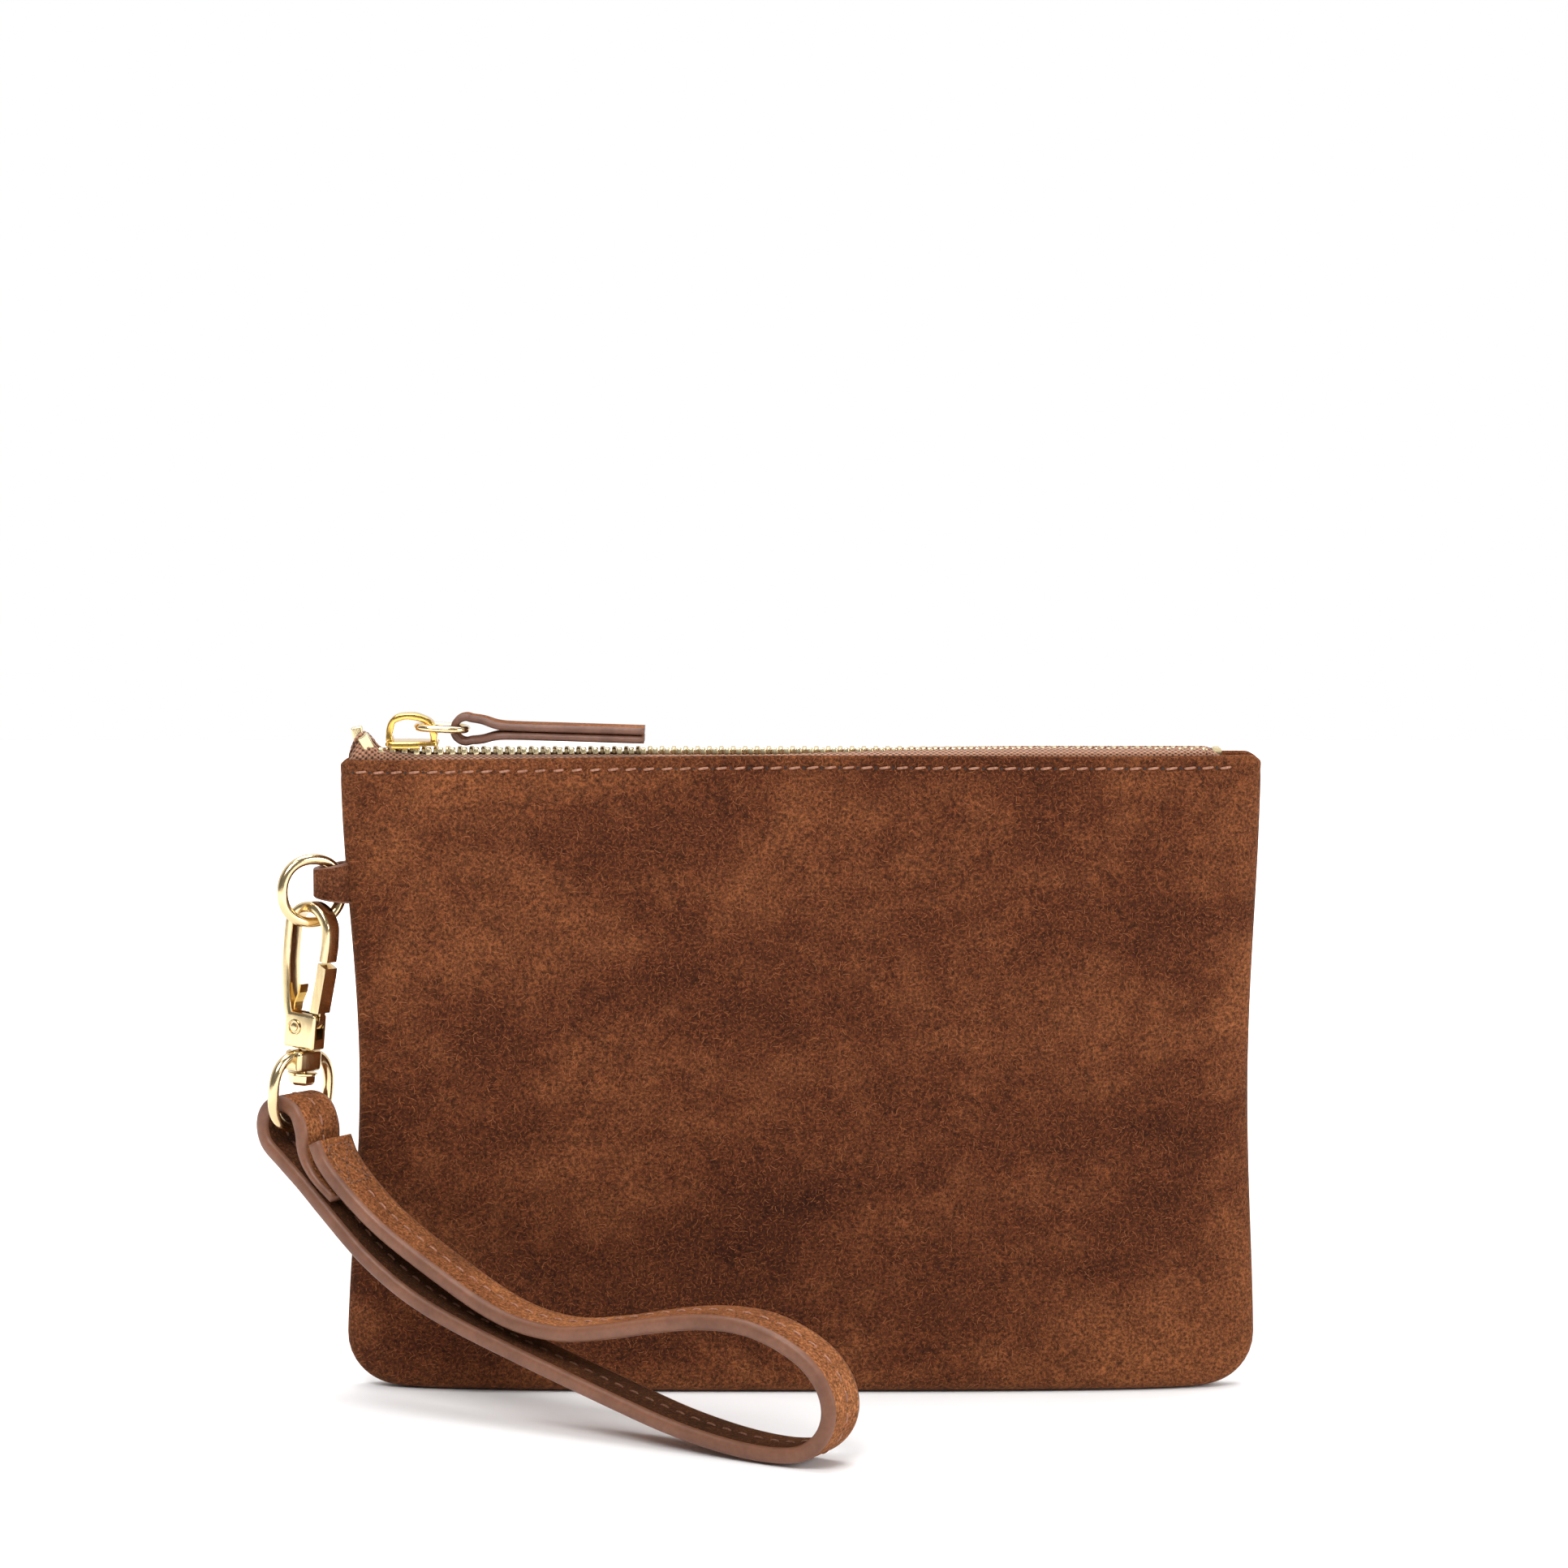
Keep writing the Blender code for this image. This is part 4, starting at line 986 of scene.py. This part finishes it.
def zip_tape(side, name):
    """A ribbed tape: from the bead beside the teeth, out to the panel and down inside it."""
    wall_y = 5.5
    outline = [(2.35, 141.35), (3.0, 141.45), (3.9, 141.1), (4.7, 140.5)]
    outline += [(5.3, 139.6), (wall_y, 138.4), (wall_y, 136.0), (wall_y, 129.0)]
    top_rows, under_rows = [], []
    for i in range(TAPE_STATIONS + 1):
        x = TAPE_LEFT + (TAPE_RIGHT - TAPE_LEFT) * i / TAPE_STATIONS
        surface, _ = panel_surface(x, 137.0, side)
        wall = max(side * surface.y - 1.85, 2.6)
        narrow = 1.0 - 0.35 * held((-93.5 - x) / 4.7)
        points = [(min(y / wall_y, 1.0) * wall * (narrow if z > 139 else 1.0), z) for y, z in outline]
        profile = smooth_path(points, 4)
        top, under = [], []
        for k, (spot, normal) in enumerate(zip(profile, path_normals(profile))):
            rib = 0.0
            if k < RIBBED_ROWS:
                rib = RIB_HEIGHT * math.sin(2 * math.pi * x / RIB_PITCH + (math.pi if k % 2 else 0.0))
            height = spot[1] + tape_lift(x) * held((spot[1] - 134.0) / 6.0)
            top.append(Vector((x, side * (spot[0] - normal[0] * rib), height + abs(normal[1]) * rib)))
            lower = height - TAPE_THICKNESS * max(abs(normal[1]), 0.3)
            under.append(Vector((x, side * (spot[0] - TAPE_THICKNESS * abs(normal[0])), lower)))
        top_rows.append(top)
        under_rows.append(under)
    mesh = Mesh()
    mesh.loft([[*top, *reversed(under)] for top, under in zip(top_rows, under_rows)])
    made = mesh.make(f"ribbed_tape_{name}", [TAPE], "pouch", "zip_tape")
    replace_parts(made, f"zip_tape_{name}")


def zip_row(side, name):
    """One row of crimped teeth. The back row stands half a pitch along."""
    start = ROW_START if side < 0 else ROW_START + TOOTH_PITCH / 2
    count = TOOTH_COUNT if side < 0 else TOOTH_COUNT - 1
    sections = (
        (3.05, 0.55, 0.75), (2.95, 0.62, 0.98), (2.0, 0.62, 1.1), (1.2, 0.5, 1.02),
        (0.2, 0.46, 0.98), (-0.55, 0.46, 0.9), (-0.85, 0.38, 0.72), (-0.9, 0.25, 0.5),
    )
    mesh = Mesh()
    for i in range(count):
        x = start + i * TOOTH_PITCH
        loops = []
        for y, half_width, half_height in sections:
            ring = []
            for k in range(TOOTH_SIDES):
                turn = 2 * math.pi * (k + 0.5) / TOOTH_SIDES
                a, b = superellipse(half_width, half_height, 4.0, turn)
                ring.append(Vector((x + a, side * y, ZIP_Z + b)))
            loops.append(ring)
        mesh.loft(loops)
    made = mesh.make(f"crimped_teeth_{name}", [TOOTH], "pouch", "tooth_brass")
    sharpen(made, 50)
    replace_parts(made, f"zip_teeth_{name}")


def tape_cord(side, name):
    """The twisted cord that the teeth are crimped on."""
    start, length, stations, sides = -97.6, 190.2, 400, 10
    loops = []
    for i in range(stations + 1):
        x = start + length * i / stations
        z = ZIP_Z + 0.1 + tape_lift(x)
        ring = []
        for k in range(sides):
            a = 2 * math.pi * k / sides
            girth = 0.48 + 0.06 * math.sin(x * 2 * math.pi / 0.9 + a)
            ring.append(Vector((x, side * (2.45 + girth * math.cos(a)), z + girth * math.sin(a))))
        loops.append(ring)
    mesh = Mesh()
    mesh.loft(loops)
    mesh.make(f"tape_cord_{name}", [TAPE], "pouch", "zip_tape")


def crimp_stop(name, off, turn, size):
    """A crimped metal stop: a rounded brass block pinched over the tape's cord."""
    place = frame_at(Vector(off) + Vector((0.0, 0.0, ZIP_Z)), turn)
    half = Vector(size) / 2
    made = box_piece(f"crimped_stop_{name}", -half, half, 0.35, place, TOOTH, "pouch")
    sharpen(made, 50)
    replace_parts(made, f"zip_top_stop_{name}")


for zip_side, zip_name in ((-1, "front"), (1, "back")):
    zip_tape(zip_side, zip_name)
    zip_row(zip_side, zip_name)
    tape_cord(zip_side, zip_name)
front_turn = turn_about("Y", -28.0) @ turn_about("X", 14.0)
crimp_stop("front", (-94.2, -2.6, 2.3), front_turn, (2.3, 2.3, 3.4))
crimp_stop("back", (-96.4, 1.3, 4.0), turn_about("Y", -12.0), (2.4, 2.2, 2.6))
dress("zip_bottom_stop", TOOTH, 0.2)


# ---------------------------------------------------------------- zip pull

# Which of a band's 16 rows of faces are its wide faces
INNER_FACE = 7
OUTER_FACE = 15


def band_loops(path, half_widths, thicknesses, to_place, corner):
    """A flat strip with rounded edges: two suede faces and two painted edges."""
    loops = []
    for point, normal, half_width, thickness in zip(path, path_normals(path), half_widths, thicknesses):
        half = thickness / 2
        radius = min(corner, half * 0.9)
        loop = []
        for a, b, first in ((1, 1, 0), (1, -1, 270), (-1, -1, 180), (-1, 1, 90)):
            for k in range(4):
                turn = math.radians(first + 90 - 30 * k)
                across = a * (half_width - radius) + radius * math.cos(turn)
                deep = b * (half - radius) + radius * math.sin(turn)
                loop.append(to_place(point, normal, deep, across))
        loops.append(loop)
    return loops


def band_slots(k):
    """Corner rows and the short sides are painted (1), the two wide faces are suede (0)."""
    return 0 if k in (INNER_FACE, OUTER_FACE) else 1


def zip_pull():
    """One strip folded round the pull's ring, its two halves lying together."""
    leather, lie_gap, fold_radius, length = 1.6, 0.15, 1.9, 42.3
    fold = fold_radius + leather / 2
    lie = leather / 2 + lie_gap
    right = length - fold - leather / 2
    upper = [(right * share, lie) for share in (1.0, 0.8, 0.5, 0.3)]
    upper += [(7.0, lie + 0.2), (3.6, fold - 0.6)]
    for degrees in range(65, 181, 23):
        ray = math.radians(degrees)
        upper.append((fold * math.cos(ray), fold * math.sin(ray)))
    lower = [(x, -z) for x, z in reversed(upper)][1:]
    path = smooth_path(upper + lower, 8)
    widths = [3.0 + 1.2 * held((point[0] - 2.0) / 5.0) for point in path]

    def to_place(point, normal, deep, across):
        spot = point + normal * deep
        return PULL_FRAME @ Vector((spot[0], across, spot[1]))

    mesh = Mesh()
    loops = band_loops(path, widths, [leather] * len(path), to_place, 0.74)
    mesh.loft(loops, slot_of=band_slots, slot=1)
    made = mesh.make("folded_pull", [STRAP_SUEDE, PULL_PAINT], "pull", "pull_leather")
    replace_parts(made, "zip_pull")


zip_pull()


# ---------------------------------------------------------------- side tab


def side_tab():
    """The strip that holds the side ring: a loop out of the side seam, narrower and lower at its fold."""
    reach = TAB_BULB_RADIUS + TAB_LEATHER / 2
    route = [(TAB_TAIL_X, 1.35), (-98.6, 2.0)]
    for degrees in range(60, 301, 15):
        ray = math.radians(degrees)
        route.append((TAB_BULB_X + reach * math.cos(ray), reach * math.sin(ray)))
    route += [(-98.6, -2.0), (TAB_TAIL_X, -1.35)]
    path = smooth_path(route, 4)

    def edges(point):
        """The tab's lower and upper edge, which draw in towards the fold."""
        share = held((TAB_TAIL_X - point[0]) / 9.0)
        return 107.4 + 1.5 * share, 117.0 - 1.7 * share

    def to_place(point, normal, deep, across):
        low, high = edges(point)
        spot = point + normal * deep
        return Vector((spot[0], spot[1], (low + high) / 2 + across))

    half_heights = [(high - low) / 2 for low, high in map(edges, path)]
    loops = band_loops(path, half_heights, [TAB_LEATHER] * len(path), to_place, 0.4)
    mesh = Mesh()
    mesh.loft(loops, slot_of=band_slots, slot=1)
    made = mesh.make("suede_side_tab", [TAB_SUEDE, STRAP_PAINT], "pouch", "suede")
    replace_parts(made, "side_tab")


side_tab()


# ---------------------------------------------------------------- wrist strap


def strap_heading(s):
    """The strap leaves the ring at one heading and turns smoothly to another."""
    turned = eased(s / STRAP_TURN_LENGTH)
    return math.radians(STRAP_HEADING_AT_RING + (STRAP_HEADING - STRAP_HEADING_AT_RING) * turned)


def strap_place(s):
    """Where a distance along the strap's heading is, from the ring, in plan."""
    x = y = 0.0
    for i in range(STRAP_PLACE_STEPS):
        heading = strap_heading(s * (i + 0.5) / STRAP_PLACE_STEPS)
        x += math.cos(heading) * s / STRAP_PLACE_STEPS
        y -= math.sin(heading) * s / STRAP_PLACE_STEPS
    return x, y


def strap_point(point, normal, deep, across):
    """From the band's own place (route point, depth off it, across its width) to the frame."""
    s, z = point + normal * deep
    x, y = strap_place(s)
    heading = strap_heading(s)
    x += STRAP_WIRE.x + across * math.sin(heading)
    y += STRAP_WIRE.y + across * math.cos(heading)
    return Vector((x, y, z))


def strap_band(path, thicknesses):
    mesh = Mesh()
    loops = band_loops(path, [STRAP_HALF_WIDTH] * len(path), thicknesses, strap_point, 1.15)
    # The inner wide face takes the darker suede copy: painted shade
    mesh.loft(loops, slot_of=lambda k: 2 if k == INNER_FACE else band_slots(k), slot=1)
    band = mesh.make("wrist_strap", [STRAP_SUEDE, STRAP_PAINT, STRAP_SHADE], "strap", "suede")
    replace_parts(band, "strap_outer", "strap_inner")


def wrist_strap():
    """The sewn band, one row of stitches along each face and a crossed box at the lap."""
    path = smooth_path(STRAP_ROUTE, STRAP_STEPS)
    normals = path_normals(path)
    thicknesses = []
    for i in range(len(path)):
        skive = held((i / STRAP_STEPS - STRAP_SKIVE_FROM) / 3.0)
        thicknesses.append(STRAP_THICKNESS + (STRAP_SKIVED_THICKNESS - STRAP_THICKNESS) * skive)
    strap_band(path, thicknesses)
    travelled = [0.0]
    for a, b in zip(path, path[1:]):
        travelled.append(travelled[-1] + (b - a).length)
    total = travelled[-1]
    threads, painted_shade_threads, holes = Mesh(), Mesh(), Mesh()

    def surface(distance, across, face, sunk):
        """A place on a face, sunk a little, by distance along the band, and the way out of it."""
        distance = min(max(distance, 0.0), total)
        i = min(bisect_right(travelled, distance) - 1, len(path) - 2)
        t = (distance - travelled[i]) / max(travelled[i + 1] - travelled[i], 0.001)
        normal = normals[i].lerp(normals[i + 1], t).normalized()
        point, half = path[i].lerp(path[i + 1], t), thicknesses[i] / 2
        base = strap_point(point, normal, face * (half - sunk), across)
        return base, strap_point(point, normal, face * (half + 1.0), across) - base

    def sew(lines, face, target, pitch=STITCH_PITCH, length=STITCH_LENGTH, girth=0.25, pit=0.42):
        """Sew along lines between places given as (distance along the band, place across it)."""
        for (d0, c0), (d1, c1) in lines:
            count = max(round(math.hypot(d1 - d0, c1 - c0) / pitch), 1)
            for n in range(count):
                first, last, hole = ((n + share) / count for share in (0.15, 0.15 + length / pitch, 0.02))
                start, out_a = surface(d0 + (d1 - d0) * first, c0 + (c1 - c0) * first, face, 0.06)
                end, out_b = surface(d0 + (d1 - d0) * last, c0 + (c1 - c0) * last, face, 0.06)
                stitch(target, start, end, out_a.normalized() + out_b.normalized(), girth, 0.2)
                spot, outwards = surface(d0 + (d1 - d0) * hole, c0 + (c1 - c0) * hole, face, 0.03)
                needle_hole(holes, spot, outwards, pit)

    near, far, left, right = 1.6, 12.0, -3.7, 3.7
    row = [((far + 2.0, 0.0), (total - 9.0, 0.0))]
    box = [
        ((near, left), (far, left)), ((far, left), (far, right)), ((far, right), (near, right)),
        ((near, right), (near, left)), ((near, left), (far, right)), ((near, right), (far, left)),
    ]
    sew(row, 1, threads)
    # The row on face -1 and the crossed box take the darker thread copy: painted shade
    sew(row, -1, painted_shade_threads)
    for face in (-1, 1):
        sew(box, face, painted_shade_threads, 2.3, 1.3, 0.17, 0.38)
    threads.make("strap_stitches", [THREAD], "strap", None)
    painted_shade_threads.make("strap_box_stitches", [PAINTED_SHADE_THREAD], "strap", None)
    holes.make("strap_needle_holes", [NEEDLE_HOLE_SHADE], "strap", None)


wrist_strap()


# ---------------------------------------------------------------- stage


def area_light(name, place, size, energy):
    """A square soft light that faces the pouch, with its size in metres."""
    data = bpy.data.lights.new(name, "AREA")
    data.shape = "RECTANGLE"
    data.size = size
    data.size_y = size
    data.energy = energy
    light = bpy.data.objects.new(name, data)
    bpy.context.scene.collection.objects.link(light)
    light.location = place
    light.rotation_euler = (Vector(LIGHT_TARGET) - Vector(place)).to_track_quat("-Z", "Y").to_euler()


def floor_sheet():
    """A pale sheet that takes the object's shadow and fades to plain white away from it."""
    shader = Shader("studio_floor", (0.93, 0.93, 0.93), 0.9)
    grain = shader.noise(30.0, 3.0)
    shader.drive(Base_Color=shader.ramp(grain, (0.3, 0.92), (0.7, 0.95)))
    away = shader.add("ShaderNodeVectorMath", operation="LENGTH")
    shader.link(shader.place, away.inputs[0])
    shader.surface.inputs["Emission Color"].default_value = (1.0, 1.0, 1.0, 1.0)
    shader.drive(Emission_Strength=smooth_rise(shader, away.outputs["Value"], 0.22, 0.65))
    mesh = bpy.data.meshes.new("studio_floor")
    half = FLOOR_HALF_SIZE
    corners = [(x * half, y * half, FLOOR_Z) for x, y in ((-1, -1), (1, -1), (1, 1), (-1, 1))]
    mesh.from_pydata(corners, [], [(0, 1, 2, 3)])
    mesh.materials.append(shader.material)
    floor = bpy.data.objects.new("studio_floor", mesh)
    bpy.context.scene.collection.objects.link(floor)


def world_light():
    """An even room, darker in front so that metal has something to mirror, and a white backdrop."""
    world = bpy.data.worlds.new("studio")
    world.use_nodes = True
    background = world.node_tree.nodes["Background"]
    background.inputs["Strength"].default_value = 1.0
    nodes, links = world.node_tree.nodes, world.node_tree.links
    place = nodes.new("ShaderNodeTexCoord")
    parts = nodes.new("ShaderNodeSeparateXYZ")
    links.new(place.outputs["Generated"], parts.inputs[0])
    room = nodes.new("ShaderNodeValToRGB")
    for element, (position, grey) in zip(room.color_ramp.elements, ((0.46, 0.22), (0.56, 1.0))):
        element.position = position
        element.color = (grey, grey, grey, 1.0)
    span = nodes.new("ShaderNodeMapRange")
    span.inputs["From Min"].default_value = -1.0
    links.new(parts.outputs[1], span.inputs["Value"])
    links.new(span.outputs["Result"], room.inputs["Fac"])
    seen = nodes.new("ShaderNodeLightPath")
    backdrop = nodes.new("ShaderNodeMix")
    backdrop.data_type = "RGBA"
    links.new(seen.outputs["Is Camera Ray"], backdrop.inputs[0])
    links.new(room.outputs["Color"], backdrop.inputs[6])
    backdrop.inputs[7].default_value = (1.0, 1.0, 1.0, 1.0)
    links.new(backdrop.outputs[2], background.inputs["Color"])
    bpy.context.scene.world = world


floor_sheet()
world_light()
area_light("key", (-0.25, -0.85, 1.0), 0.6, 12.0)
area_light("fill", (0.85, -0.6, 0.45), 0.5, 5.0)
area_light("top", (0.0, 0.1, 1.1), 0.8, 8.0)

view = bpy.context.scene.view_settings
view.view_transform = "Standard"
view.look = "None"
view.exposure = 0.0

lens = bpy.data.cameras.new("camera")
lens.lens = 105.1
lens.sensor_width = 36.0
camera = bpy.data.objects.new("camera", lens)
camera.location = (-0.0032, -0.995, 0.2383)
camera.rotation_euler = (math.radians(84.0), 0.0, 0.0)
bpy.context.scene.collection.objects.link(camera)
bpy.context.scene.camera = camera
